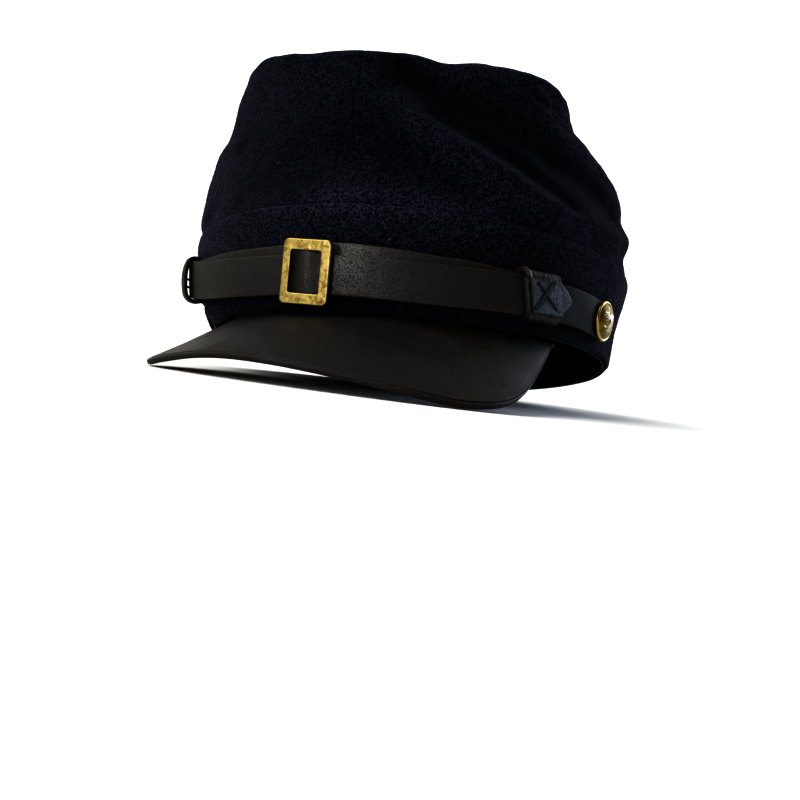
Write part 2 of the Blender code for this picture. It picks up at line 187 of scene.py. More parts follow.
def grid_normals(points: Array, round_rows: bool, round_columns: bool) -> Array:
    """Unit normals of a grid of points, from the cross product of its two central differences.

    Args:
        points: rows by columns by three.
        round_rows: the last row joins the first.
        round_columns: the last column joins the first.

    Returns:
        One unit vector per point; which side it points to depends on the grid.
    """
    along = [
        np.roll(points, -1, axis) - np.roll(points, 1, axis) if closed else np.gradient(points, axis=axis)
        for axis, closed in enumerate((round_rows, round_columns))
    ]
    return unit(np.cross(along[1], along[0]))


# ---- the cap's own frame


@dataclass(frozen=True)
class BandLine:
    """The upright oval that every other piece is measured from."""

    height: float = 37.8
    bottom: Pair = (83.5, 96.4)  # half width and half length at the bottom edge
    ridge: Pair = (87.0, 102.7)  # the same where the crown is sewn on
    lift: float = 2.0  # the bottom edge is cut this much higher over the ears
    hem: Table = ((-46.0, 6.0, -3.2), (-68.0, 12.0, 4.4))  # its bends: angle, half width in degrees, rise

    def beside(self, angle: Array, height: Array, standoff: Array) -> Array:
        """Points beside the band's wool.

        x = (half width + standoff) * sin(angle) and y = -(half length + standoff) * cos(angle), where
        both half sizes grow evenly from the bottom edge to the ridge.

        Args:
            angle: degrees round from the front, positive to the wearer's left.
            height: above the bottom edge.
            standoff: distance out from the wool.

        Returns:
            Points with a last axis of three.
        """
        angle, height, standoff = np.broadcast_arrays(
            np.asarray(angle, float), np.asarray(height, float), np.asarray(standoff, float)
        )
        share = height / self.height
        half_width = self.bottom[0] + (self.ridge[0] - self.bottom[0]) * share + standoff
        half_length = self.bottom[1] + (self.ridge[1] - self.bottom[1]) * share + standoff
        turn = np.radians(angle)
        return np.stack([half_width * np.sin(turn), -half_length * np.cos(turn), height], -1)

    def cut(self, angle: Array, height: Array) -> Array:
        """Heights lifted by lift * sin^2(angle) and the bells of `hem` at the bottom edge, and less above it.

        Args:
            angle: degrees round from the front.
            height: above a level bottom edge.

        Returns:
            The heights as the cloth is cut.
        """
        up = 1 - height / self.height
        bent = sum(rise * hump(degrees_from(angle, at), wide) for at, wide, rise in self.hem)
        return height + self.lift * np.sin(np.radians(angle)) ** 2 * up + bent * up * np.abs(up)

    def axes(self, angle: Array, height: Array, standoff: Array, lean: float = 0.0) -> tuple[Array, Array]:
        """A place beside the wool and the directions along, up and out from there.

        Args:
            angle: degrees round from the front.
            height: above the bottom edge.
            standoff: distance out from the wool.
            lean: degrees that the up direction leans to the wearer's left.

        Returns:
            The place, and a matrix whose three rows are the directions.
        """
        along = unit(self.beside(angle + 0.5, height, 0.0) - self.beside(angle - 0.5, height, 0.0))
        up = unit(self.beside(angle, height + 1, 0.0) - self.beside(angle, height - 1, 0.0))
        c, s = np.cos(radians(lean)), np.sin(radians(lean))
        turned = [along * c - up * s, up * c + along * s, np.cross(along, up)]
        return self.beside(angle, height, standoff), np.stack(turned, -2)


@dataclass(frozen=True)
class Placement:
    """How the cap lies on the ground: tipped back and to the side until its three low points touch."""

    pitch: float = 7.86  # the front of the band is raised
    roll: float = 4.03  # the wearer's left side is raised, because the peak hangs lower there
    shift: Triple = (0.0, 0.0, 0.0)

    def tipped(self, points: Array) -> Array:
        """Turns points by the pitch about X, then by the roll about Y.

        Args:
            points: in the band's frame.

        Returns:
            The points as the cap lies, not yet shifted.
        """
        p, r = radians(self.pitch), radians(self.roll)
        back = np.array([[1, 0, 0], [0, np.cos(p), np.sin(p)], [0, -np.sin(p), np.cos(p)]])
        side = np.array([[np.cos(r), 0, -np.sin(r)], [0, 1, 0], [np.sin(r), 0, np.cos(r)]])
        return np.asarray(points) @ (side @ back).T

    def metres(self, points: Array) -> Array:
        """Band-frame millimetres turned, shifted and given in metres on the ground."""
        return (self.tipped(points) + self.shift) / 1000

    @staticmethod
    def on_packed_band(line: BandLine) -> "Placement":
        """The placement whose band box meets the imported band's box.

        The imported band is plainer: its section is a few rows of height and bulge.

        Args:
            line: the band's oval.

        Returns:
            A placement with its shift filled in.
        """
        section = np.array([(0.0, -0.3), (12.0, 0.0), (25.0, 0.2), (36.4, 0.5), (line.height, -0.3)])
        angle = np.linspace(-180, 180, 64, endpoint=False)[None]
        height, bulge = line.cut(angle, section[:, :1]), section[:, 1:]
        walls = [line.beside(angle, height, bulge), line.beside(angle, height, -2.6)]
        drawn = Placement().tipped(np.array(walls)).reshape(-1, 3)
        low, high = (np.array(corner) * 1000 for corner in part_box("band"))
        shift = (low + high - drawn.min(0) - drawn.max(0)) / 2
        return Placement(shift=tuple(float(x) for x in shift))


# ---- shader node groups


@dataclass
class Board:
    """A node tree with short calls to add nodes and join them."""

    tree: bpy.types.NodeTree

    def put(self, socket: Socket, value: object) -> None:
        """Joins a node's output to the socket, or sets the socket's own value.

        Args:
            socket: a node's input.
            value: an output, a plain value, or None to leave the socket alone.
        """
        if isinstance(value, Socket):
            self.tree.links.new(value, socket)
        elif value is not None:
            socket.default_value = value

    def node(
        self, kind: str, inputs: dict[str | int, object] | None = None, **settings: object
    ) -> bpy.types.Node:
        """Adds a node.

        Args:
            kind: the node's type, without the leading ShaderNode.
            inputs: values or outputs for its sockets, by name or number.
            settings: the node's own properties.

        Returns:
            The node.
        """
        made = self.tree.nodes.new("ShaderNode" + kind)
        for name, value in settings.items():
            setattr(made, name, value)
        for key, value in (inputs or {}).items():
            self.put(made.inputs[key], value)
        return made

    def math(self, operation: str, *values: object, clamp: bool = False) -> Socket:
        """The output of a Math node with these values."""
        made = self.node("Math", dict(enumerate(values)), operation=operation, use_clamp=clamp)
        return made.outputs[0]

    def times(self, *values: object, clamp: bool = False) -> Socket:
        """The product of two values."""
        return self.math("MULTIPLY", *values, clamp=clamp)

    def scaled(self, value: object, by: object, plus: object, clamp: bool = False) -> Socket:
        """The output of value * by + plus."""
        return self.math("MULTIPLY_ADD", value, by, plus, clamp=clamp)

    def mark(self, name: str) -> Socket:
        """The piece's own mark of this name."""
        return self.node("Attribute", attribute_name=name).outputs["Fac"]

    def remap(self, value: object, low: float, high: float, start: float = 0.0, end: float = 1.0) -> Socket:
        """The value eased from the range low to high into the range start to end, and clamped there."""
        ranges = {0: value, 1: low, 2: high, 3: start, 4: end}
        return self.node("MapRange", ranges, interpolation_type="SMOOTHSTEP").outputs[0]

    def blend(self, share: object, first: object, second: object) -> Socket:
        """A colour between two others.

        Args:
            share: 0 for the first and 1 for the second.
            first: a colour or an output.
            second: the same.

        Returns:
            The mixed colour.
        """
        made = self.node("Mix", data_type="RGBA")
        for socket, value in zip((made.inputs[0], made.inputs[6], made.inputs[7]), (share, first, second)):
            self.put(socket, (*value, 1.0) if isinstance(value, tuple) and len(value) == 3 else value)
        return made.outputs[2]

    def noise(self, vector: object, scale: object, *settings: float) -> Socket:
        """The value of a noise texture, given its detail and maybe its roughness and distortion."""
        named = dict(zip(("Detail", "Roughness", "Distortion"), settings))
        return self.node("TexNoise", {"Vector": vector, "Scale": scale, **named}).outputs["Fac"]

    def stretched(self, vector: object, scale: Triple, turn: float = 0.0) -> Socket:
        """The vector turned about Z by so many degrees and scaled by axis."""
        made = self.node("Mapping", {"Vector": vector, "Scale": scale, "Rotation": (0.0, 0.0, radians(turn))})
        return made.outputs[0]

    def bump(self, shader: bpy.types.Node, height: object, distance: float) -> None:
        """Bumps the shader's normal by a height whose full value is this many metres."""
        made = self.node("Bump", {"Strength": 1.0, "Distance": distance, "Height": height})
        self.put(shader.inputs["Normal"], made.outputs[0])


class Effect:
    """Shared surface effects, each a node group that is built once and placed in many materials."""

    made: dict[str, bpy.types.NodeTree] = {}

    @classmethod
    def group(
        cls, name: str, inputs: dict[str, tuple[str, object]], outputs: dict[str, str]
    ) -> tuple[Board, bpy.types.Node, bpy.types.Node]:
        """Starts a node group with named sockets.

        Args:
            name: the group's name.
            inputs: socket type and default value by name.
            outputs: socket type by name.

        Returns:
            A board on the group's tree, its input node and its output node.
        """
        tree = bpy.data.node_groups.new(name, "ShaderNodeTree")
        for label, (kind, default) in inputs.items():
            socket = tree.interface.new_socket(label, in_out="INPUT", socket_type="NodeSocket" + kind)
            if default is not None:
                socket.default_value = default
        for label, kind in outputs.items():
            tree.interface.new_socket(label, in_out="OUTPUT", socket_type="NodeSocket" + kind)
        cls.made[name] = tree
        return Board(tree), tree.nodes.new("NodeGroupInput"), tree.nodes.new("NodeGroupOutput")

    @classmethod
    def place(cls, board: Board, name: str, **inputs: object) -> bpy.types.Node:
        """Places a group in a material, building it if this is its first use.

        Args:
            board: the material's board.
            name: one of the builders below.
            inputs: values or outputs for the group's sockets, with _ for a space.

        Returns:
            The group node.
        """
        if name not in cls.made:
            getattr(cls, name)()
        named = {key.replace("_", " ").capitalize(): value for key, value in inputs.items()}
        made = board.node("Group", node_tree=cls.made[name])
        for key, value in named.items():
            board.put(made.inputs[key], value)
        return made

    @classmethod
    def hide_grain(cls) -> None:
        """Leather grain: round cells with creases between them, broken up by finer pores and soft swells."""
        board, start, end = cls.group(
            "hide_grain",
            {"Vector": ("Vector", None), "Cells": ("Float", 900.0), "Pores": ("Float", 0.4)},
            {"Height": "Float", "Creases": "Float"},
        )
        vector, cells = start.outputs["Vector"], start.outputs["Cells"]
        wobble = board.node("TexNoise", {"Vector": vector, "Scale": board.times(cells, 0.45), "Detail": 2.0})
        middle = (0.5, 0.5, 0.5)
        offset = board.node("VectorMath", {0: wobble.outputs["Color"], 1: middle}, operation="SUBTRACT")
        scaled = board.node("VectorMath", {0: offset.outputs[0], "Scale": 0.0011}, operation="SCALE")
        moved = board.node("VectorMath", {0: vector, 1: scaled.outputs[0]}, operation="ADD").outputs[0]
        cell = board.node("TexVoronoi", {"Vector": moved, "Scale": cells}, feature="DISTANCE_TO_EDGE")
        crease = board.remap(cell.outputs["Distance"], 0.0, 0.16)
        swell = board.noise(vector, board.times(cells, 0.22), 2.0)
        pores = board.noise(vector, board.times(cells, 3.1), 1.0)
        height = board.scaled(crease, swell, board.times(pores, start.outputs["Pores"]))
        board.put(end.inputs["Height"], height)
        board.put(end.inputs["Creases"], board.math("SUBTRACT", 1.0, crease))

    @classmethod
    def handling(cls) -> None:
        """Marks of handling: wide soft patches, with thin scuffs across them."""
        board, start, end = cls.group(
            "handling",
            {"Vector": ("Vector", None), "Patches": ("Float", 45.0), "Scuffs": ("Float", 160.0)},
            {"Patch": "Float", "Scuff": "Float"},
        )
        vector = start.outputs["Vector"]
        patch = board.noise(vector, start.outputs["Patches"], 3.0, 0.55)
        long = board.stretched(vector, (1.0, 1.0, 7.0), 24.0)
        lines = board.noise(long, start.outputs["Scuffs"], 4.0, 0.6, 0.6)
        board.put(end.inputs["Patch"], board.remap(patch, 0.36, 0.66))
        board.put(end.inputs["Scuff"], board.remap(lines, 0.60, 0.74))

    @classmethod
    def worn_edge(cls) -> None:
        """Wear along an edge: the piece's own edge mark, eaten into by noise."""
        board, start, end = cls.group(
            "worn_edge",
            {"Vector": ("Vector", None), "Edge": ("Float", 0.0), "Grit": ("Float", 700.0),
             "Reach": ("Float", 0.5)},
            {"Mask": "Float"},
        )
        grit = board.noise(start.outputs["Vector"], start.outputs["Grit"], 3.0, 0.6)
        uneven = board.scaled(board.math("SUBTRACT", grit, 0.5), 0.55, start.outputs["Edge"])
        bite = board.math("SUBTRACT", uneven, start.outputs["Reach"])
        board.put(end.inputs["Mask"], board.times(bite, 5.0, clamp=True))

    @classmethod
    def wool_nap(cls) -> None:
        """Milled wool: short fibres matted into tufts just under a millimetre across, with hairs on them."""
        board, start, end = cls.group(
            "wool_nap",
            {"Vector": ("Vector", None), "Tufts": ("Float", 900.0)},
            {"Height": "Float", "Tuft": "Float", "Fibre": "Float", "Speck": "Float"},
        )
        vector, tufts = start.outputs["Vector"], start.outputs["Tufts"]
        tuft = board.noise(vector, tufts, 2.0, 0.7, 0.4)
        clump = board.noise(vector, board.times(tufts, 0.42), 1.0, 0.6, 0.6)
        lying = board.stretched(vector, (1.0, 1.0, 1.6), 31.0)
        fibre = board.noise(lying, board.times(tufts, 2.9), 2.0, 0.7, 1.2)
        speck = board.noise(vector, board.times(tufts, 0.8), 0.0)
        matted = board.scaled(clump, 0.3, board.scaled(fibre, 0.35, tuft))
        mixed = board.scaled(clump, 0.16, board.times(tuft, 0.84))
        board.put(end.inputs["Height"], matted)
        board.put(end.inputs["Tuft"], board.remap(mixed, 0.42, 0.60))
        board.put(end.inputs["Fibre"], board.remap(fibre, 0.46, 0.66))
        board.put(end.inputs["Speck"], board.remap(speck, 0.885, 0.90))

    @classmethod
    def struck_metal(cls) -> None:
        """Stamped brass: shallow hammering, fine drawn scratches and cloudy tarnish."""
        board, start, end = cls.group(
            "struck_metal",
            {"Vector": ("Vector", None), "Grit": ("Float", 1.0)},
            {"Height": "Float", "Tarnish": "Float", "Scratch": "Float"},
        )
        vector, grit = start.outputs["Vector"], start.outputs["Grit"]
        dents = board.noise(vector, board.times(grit, 520.0), 2.0, 0.5, 0.3)
        cross = board.noise(board.stretched(vector, (1.0, 1.0, 9.0), 12.0), 1900.0, 2.0, 0.6, 0.2)
        along = board.noise(board.stretched(vector, (9.0, 1.0, 1.0), 9.0), 1700.0, 2.0, 0.6, 0.2)
        scratch = board.math("MAXIMUM", cross, along)
        cloud = board.noise(vector, board.times(grit, 330.0), 4.0, 0.68, 1.1)
        board.put(end.inputs["Height"], board.scaled(scratch, 0.22, dents))
        board.put(end.inputs["Tarnish"], board.remap(cloud, 0.44, 0.64))
        board.put(end.inputs["Scratch"], board.remap(scratch, 0.58, 0.76))


# ---- finishes


def toned(colour: Colour, share: float) -> Colour:
    """The colour made darker by a share below 1, or paler by one above it."""
    return tuple(share * part for part in colour)


def shader_of(name: str) -> tuple[Material, Board, bpy.types.Node]:
    """Starts a material.

    Args:
        name: the material's name.

    Returns:
        The material, its board and its Principled shader.
    """
    made = bpy.data.materials.new(name)
    made.use_nodes = True
    return made, Board(made.node_tree), made.node_tree.nodes["Principled BSDF"]


@dataclass(frozen=True)
class WoolCloth:
    """Dark milled wool with a short matted nap."""

    name: str
    deep: Colour = (0.0010, 0.0010, 0.0036)
    lit: Colour = (0.0190, 0.0200, 0.0330)
    worn: Colour = (0.030, 0.030, 0.042)
    lint: Colour = (0.16, 0.16, 0.17)
    tufts: float = 1150.0  # per metre
    nap_depth: float = 0.00048

    def material(self) -> Material:
        """Tufts and hairs give colour and bump, and sheen the pile's bloom.

        Painted light makes the nap paler where the piece is marked for it, painted shade makes it
        darker where it is marked for that, and a seam makes it nearly black.

        Returns:
            The material.
        """
        made, board, shader = shader_of(self.name)
        place = board.node("TexCoord").outputs["Object"]
        nap = Effect.place(board, "wool_nap", vector=place, tufts=self.tufts)
        share = board.scaled(nap.outputs["Fibre"], 0.32, board.times(nap.outputs["Tuft"], 0.68))
        wear = Effect.place(board, "worn_edge", vector=place, edge=board.mark("edge"), grit=420.0, reach=0.62)
        # painted light: the lit colour made paler where the nap is marked for painted light
        lit = board.blend(board.mark("pale"), self.lit, toned(self.lit, 2.1))
        # painted shade: the lit colour darkened in the marked valleys and hollows
        lit = board.blend(board.mark("close"), lit, toned(self.lit, 0.30))
        colour = board.blend(share, self.deep, lit)
        colour = board.blend(board.mark("seam"), colour, toned(self.deep, 0.3))
        colour = board.blend(board.times(wear.outputs["Mask"], 0.35), colour, self.worn)
        colour = board.blend(board.times(nap.outputs["Speck"], 0.6), colour, self.lint)
        board.put(shader.inputs["Base Color"], colour)
        board.put(shader.inputs["Roughness"], board.remap(nap.outputs["Tuft"], 0.0, 1.0, 1.0, 0.86))
        shader.inputs["Specular IOR Level"].default_value = 0.08
        shader.inputs["Sheen Weight"].default_value = 0.06
        shader.inputs["Sheen Roughness"].default_value = 0.42
        shader.inputs["Sheen Tint"].default_value = (0.52, 0.55, 0.80, 1.0)
        board.bump(shader, nap.outputs["Height"], self.nap_depth)
        return made


@dataclass(frozen=True)
class WoolHair:
    """The loose fibres that stand out of the nap."""

    name: str
    colour: Colour = (0.0120, 0.0125, 0.0200)

    def material(self) -> Material:
        """The colour varies from fibre to fibre with its place.

        Returns:
            The material.
        """
        made, board, shader = shader_of(self.name)
        place = board.node("TexCoord").outputs["Object"]
        varied = board.noise(place, 900.0, 1.0)
        tone = board.blend(board.remap(varied, 0.45, 0.75), self.colour, toned(self.colour, 2.0))
        board.put(shader.inputs["Base Color"], tone)
        board.put(shader.inputs["Roughness"], board.remap(varied, 0.2, 0.8, 0.7, 0.9))
        shader.inputs["Specular IOR Level"].default_value = 0.15
        return made


@dataclass(frozen=True)
class BlackLeather:
    """Black dyed leather: grain, patches of polish, scuffs and raw brown edges."""

    name: str
    dye: Colour = (0.0075, 0.0072, 0.0070)
    faded: Colour = (0.0155, 0.0135, 0.0115)
    raw: Colour = (0.040, 0.034, 0.021)
    cool: Colour = (0.0125, 0.0165, 0.0245)  # painted reflection of a bluish side light
    cells: float = 900.0  # grain cells per metre
    depth: float = 0.00008
    pores: float = 0.4
    roughness: Pair = (0.36, 0.52)
    specular: float = 0.42
    patches: float = 45.0

    def material(self) -> Material:
        """Grain bumps the surface and dulls its creases, and edges show raw hide.

        Where the piece has a pebble mark, the grain stands up, its creases turn black and a thin polish
        lies over it.  The blue-light mark paints in a bluish reflection, and the dull mark makes the face
        matt and paints it darker, as shade.

        Returns:
            The material.
        """
        made, board, shader = shader_of(self.name)
        place = board.node("TexCoord").outputs["Object"]
        edge, pebble, cool, dull = (board.mark(name) for name in ("edge", "pebble", "cool", "dull"))
        grain = Effect.place(board, "hide_grain", vector=place, cells=self.cells, pores=self.pores)
        marks = Effect.place(board, "handling", vector=place, patches=self.patches, scuffs=170.0)
        worn = Effect.place(board, "worn_edge", vector=place, edge=edge, grit=800.0, reach=0.45)
        colour = board.blend(marks.outputs["Patch"], self.dye, self.faded)
        colour = board.blend(board.times(marks.outputs["Scuff"], 0.35), colour, self.raw)
        # painted reflection: the colour turned blue where a bluish light would shine off it
        colour = board.blend(cool, colour, self.cool)
        # painted shade: where marked dull the colour is also darkened to a blue-black, besides the rougher
        # finish
        colour = board.blend(dull, colour, toned(self.cool, 0.17))
        creases = grain.outputs["Creases"]
        broken = board.remap(board.noise(place, 0.6 * self.cells, 2.0), 0.46, 0.60)
        pits = board.times(board.times(creases, broken), board.scaled(pebble, 0.35, 0.5))
        colour = board.blend(pits, colour, toned(self.dye, 0.3))
        colour = board.blend(worn.outputs["Mask"], colour, self.raw)
        board.put(shader.inputs["Base Color"], colour)
        smooth = board.remap(marks.outputs["Patch"], 0.0, 1.0, *self.roughness)
        rough = board.scaled(creases, 0.16, board.scaled(dull, 0.30, smooth))
        board.put(shader.inputs["Roughness"], board.scaled(worn.outputs["Mask"], 0.25, rough, clamp=True))
        shader.inputs["Specular IOR Level"].default_value = self.specular
        polished = board.times(pebble, board.scaled(creases, -0.5, 0.5, clamp=True))
        board.put(shader.inputs["Coat Weight"], polished)
        shader.inputs["Coat Roughness"].default_value = 0.34
        relief = board.scaled(marks.outputs["Scuff"], -0.25, grain.outputs["Height"])
        board.bump(shader, board.times(relief, board.scaled(pebble, 1.1, 1.0)), self.depth)
        return made


@dataclass(frozen=True)
class WornBrass:
    """Gilt brass with cloudy tarnish in the hollows and bright rubbed edges."""

    name: str
    bright: Colour = (0.335, 0.265, 0.100)
    dull: Colour = (0.135, 0.093, 0.030)
    worn: Colour = (0.335, 0.265, 0.100)  # where relief has rubbed through to paler metal
    grime: Colour = (0.030, 0.020, 0.008)
    roughness: Pair = (0.30, 0.48)
    dents: float = 0.00012
    grit: float = 1.0

    def material(self) -> Material:
        """Tarnish darkens and dulls, the edge mark brightens, and the hollow mark soils.

        Returns:
            The material.
        """
        made, board, shader = shader_of(self.name)
        place = board.node("TexCoord").outputs["Object"]
        edge, hollow, relief = (board.mark(name) for name in ("edge", "hollow", "relief"))
        metal = Effect.place(board, "struck_metal", vector=place, grit=self.grit)
        tarnish = board.times(metal.outputs["Tarnish"], board.scaled(edge, -0.75, 0.85))
        colour = board.blend(tarnish, board.blend(relief, self.bright, self.worn), self.dull)
        colour = board.blend(board.times(hollow, 0.85), colour, self.grime)
        board.put(shader.inputs["Base Color"], colour)
        shader.inputs["Metallic"].default_value = 1.0
        rough = board.scaled(hollow, 0.22, board.remap(tarnish, 0.0, 1.0, *self.roughness))
        board.put(shader.inputs["Roughness"], board.scaled(metal.outputs["Scratch"], 0.08, rough))
        board.bump(shader, metal.outputs["Height"], self.dents)
        return made


@dataclass(frozen=True)
class WaxedThread:
    """Waxed black thread, with its twist running along the surface map."""

    name: str
    colour: Colour = (0.0022, 0.0022, 0.0024)

    def material(self) -> Material:
        """A slanting wave gives the twist.

        Returns:
            The material.
        """
        made, board, shader = shader_of(self.name)
        surface = board.node("UVMap", uv_map="surface").outputs[0]
        slanted = board.stretched(surface, (1.0, 1.0, 1.0), 40.0)
        twist = board.node("TexWave", {"Vector": slanted, "Scale": 420.0}).outputs["Fac"]
        board.put(shader.inputs["Base Color"], board.blend(twist, self.colour, toned(self.colour, 2.2)))
        board.put(shader.inputs["Roughness"], board.remap(twist, 0.0, 1.0, 0.5, 0.7))
        board.bump(shader, twist, 0.00008)
        return made


@dataclass(frozen=True)
class Finishes:
    """Every material of the cap, made once."""

    crown: Material
    band: Material
    hair: Material
    peak: Material
    strap: Material
    keeper: Material
    loop: Material
    sweatband: Material
    buckle: Material
    button: Material
    thread: Material

    @staticmethod
    def mixed() -> "Finishes":
        """Builds all of the materials.

        Returns:
            The finished set, each finish with its own dye, grain and wear.
        """
        return Finishes(
            crown=WoolCloth("crown_wool").material(),
            band=WoolCloth("band_wool", lit=(0.028, 0.029, 0.044), tufts=1200, nap_depth=0.00034).material(),
            hair=WoolHair("wool_hair").material(),
            peak=BlackLeather(
                "peak_leather", dye=(0.0078, 0.0066, 0.0056), faded=(0.0102, 0.0083, 0.0068),
                raw=(0.0130, 0.0105, 0.0080), cells=1400.0, depth=0.00012, roughness=(0.43, 0.55),
                specular=0.32,
            ).material(),
            strap=BlackLeather(
                "strap_leather", dye=(0.0080, 0.0067, 0.0054), faded=(0.0130, 0.0104, 0.0080),
                # its blue is a painted reflection on the strap's pointed end
                cool=(0.026, 0.034, 0.050), cells=1300.0, depth=0.00010, roughness=(0.47, 0.58),
            ).material(),
            keeper=BlackLeather(
                "keeper_leather", dye=(0.0050, 0.0050, 0.0042), faded=(0.0110, 0.0106, 0.0088),
                # its blue is a painted reflection on the keeper's lap
                raw=(0.016, 0.015, 0.012), cool=(0.048, 0.062, 0.088), cells=480.0, depth=0.00018,
                patches=210.0,
            ).material(),
            # painted shade: the side loop gets a darker, duller copy of the leather
            loop=BlackLeather(
                "loop_leather", dye=(0.0035, 0.0035, 0.0035), faded=(0.005, 0.005, 0.005),
                raw=(0.007, 0.006, 0.005), roughness=(0.6, 0.7), specular=0.2,
            ).material(),
            sweatband=BlackLeather(
                "sweatband_leather", raw=(0.012, 0.010, 0.008), cells=1700.0, depth=0.00004,
                roughness=(0.42, 0.6),
            ).material(),
            buckle=WornBrass("buckle_brass").material(),
            button=WornBrass(
                "button_brass", bright=(0.40, 0.29, 0.095), dull=(0.16, 0.115, 0.04), worn=(0.50, 0.45, 0.33),
                dents=0.00003, grit=1.6, roughness=(0.22, 0.36),
            ).material(),
            thread=WaxedThread("waxed_thread").material(),
        )


# ---- grids of points turned into meshes


@dataclass
class Solid:
    """Plain mesh data of one closed body: points, faces, texture coordinates and marks."""

    points: Array
    corners: Indices  # vertex of every face corner
    sizes: Indices  # corners per face
    surface: Array  # texture coordinates of every face corner, in metres
    finish: Material
    marks: dict[str, Array] = field(default_factory=dict)

    def facing_out(self) -> "Solid":
        """Turns the faces round if the body's signed volume is negative.

        Returns:
            The body itself, or one whose faces run the other way.
        """
        starts = np.concatenate([[0], np.cumsum(self.sizes)[:-1]])
        first = self.points[self.corners[starts]]
        volume = 0.0
        for step in range(1, int(self.sizes.max()) - 1):
            has = self.sizes > step + 1
            a = self.points[self.corners[starts[has] + step]]
            b = self.points[self.corners[starts[has] + step + 1]]
            volume += float((first[has] * np.cross(a, b)).sum())
        if volume >= 0:
            return self
        face = np.repeat(np.arange(len(self.sizes)), self.sizes)
        inside = np.arange(len(self.corners)) - starts[face]
        back = starts[face] + self.sizes[face] - 1 - inside
        return Solid(self.points, self.corners[back], self.sizes, self.surface[back], self.finish, self.marks)


@dataclass
class Skin:
    """A body drawn as one grid of points, rows by columns, that closes on itself or is shut by fans."""

    points: Array
    finish: Material
    round_rows: bool = False
    round_columns: bool = False
    shut_rows: bool = False  # fans close the first and the last row
    shut_columns: bool = False  # fans close the first and the last column
    marks: dict[str, Array] = field(default_factory=dict)

    def lengths(self, axis: int, closed: bool) -> Array:
        """Distance walked along the grid's middle column or row, with the way back when it is closed.

        Args:
            axis: 0 to walk down the rows, 1 to walk across the columns.
            closed: the way ends where it began.

        Returns:
            Metres from the start, one for each point on the way.
        """
        middle = np.take(self.points, self.points.shape[1 - axis] // 2, axis=1 - axis)
        ring = np.concatenate([middle, middle[:1]]) if closed else middle
        steps = np.linalg.norm(np.diff(ring, axis=0), axis=-1)
        return np.concatenate([[0.0], np.cumsum(steps)]) / 1000

    def solid(self) -> Solid:
        """Turns the grid into quads, with a fan of triangles on each shut end.

        Returns:
            The closed body, facing outwards.
        """
        rows, columns = self.points.shape[:2]
        down, across = self.lengths(0, self.round_rows), self.lengths(1, self.round_columns)
        i, j = np.meshgrid(np.arange(len(down) - 1), np.arange(len(across) - 1), indexing="ij")
        i_next, j_next = (i + 1) % rows, (j + 1) % columns
        here, below = i * columns, i_next * columns
        quads = np.stack([here + j, here + j_next, below + j_next, below + j], -1)
        map_u = np.stack([across[j], across[j + 1], across[j + 1], across[j]], -1)
        map_v = np.stack([down[i], down[i], down[i + 1], down[i + 1]], -1)
        points = [self.points.reshape(-1, 3)]
        corners, sizes = [quads.ravel()], [np.full(i.size, 4)]
        surface = [np.stack([map_u, map_v], -1).reshape(-1, 2)]
        extra = {name: [mark.ravel()] for name, mark in self.marks.items()}
        for ring in self.open_rings():
            centre = sum(len(group) for group in points)
            ahead = np.roll(ring, -1)
            corners.append(np.stack([ring, ahead, np.full(len(ring), centre)], -1).ravel())
            sizes.append(np.full(len(ring), 3))
            hub = points[0][ring].mean(0)
            flat = (points[0][ring] - hub)[:, [0, 2]] / 1000
            surface.append(np.stack([flat, np.roll(flat, -1, 0), 0 * flat], 1).reshape(-1, 2))
            points.append(hub[None])
            for name in extra:
                extra[name].append(extra[name][0][ring].mean(keepdims=True))
        whole = Solid(
            np.concatenate(points), np.concatenate(corners), np.concatenate(sizes), np.concatenate(surface),
            self.finish, {name: np.concatenate(groups) for name, groups in extra.items()},
        )
        return whole.facing_out()

    def open_rings(self) -> list[Indices]:
        """Finds the rings of vertices to be shut by fans.

        Returns:
            Each ring's vertices, in the order that meets the quads.
        """
        rows, columns = self.points.shape[:2]
        index = np.arange(rows * columns).reshape(rows, columns)
        rings = [index[0, ::-1], index[-1]] if self.shut_rows else []
        return rings + ([index[:, 0], index[::-1, -1]] if self.shut_columns else [])


def scattered(template: Solid, origins: Array, frames: Array) -> Solid:
    """Copies of one small body, each point placed at origin + point @ frame.

    Args:
        template: the small body.
        origins: one place per copy.
        frames: one 3 x 3 matrix per copy, its rows the directions of the body's own axes.

    Returns:
        One body that holds every copy.
    """
    copies, count = len(origins), len(template.points)
    points = origins[:, None] + template.points[None] @ frames
    corners = template.corners[None] + (np.arange(copies) * count)[:, None]
    return Solid(
        points.reshape(-1, 3), corners.ravel(), np.tile(template.sizes, copies),
        np.tile(template.surface, (copies, 1)), template.finish,
    )


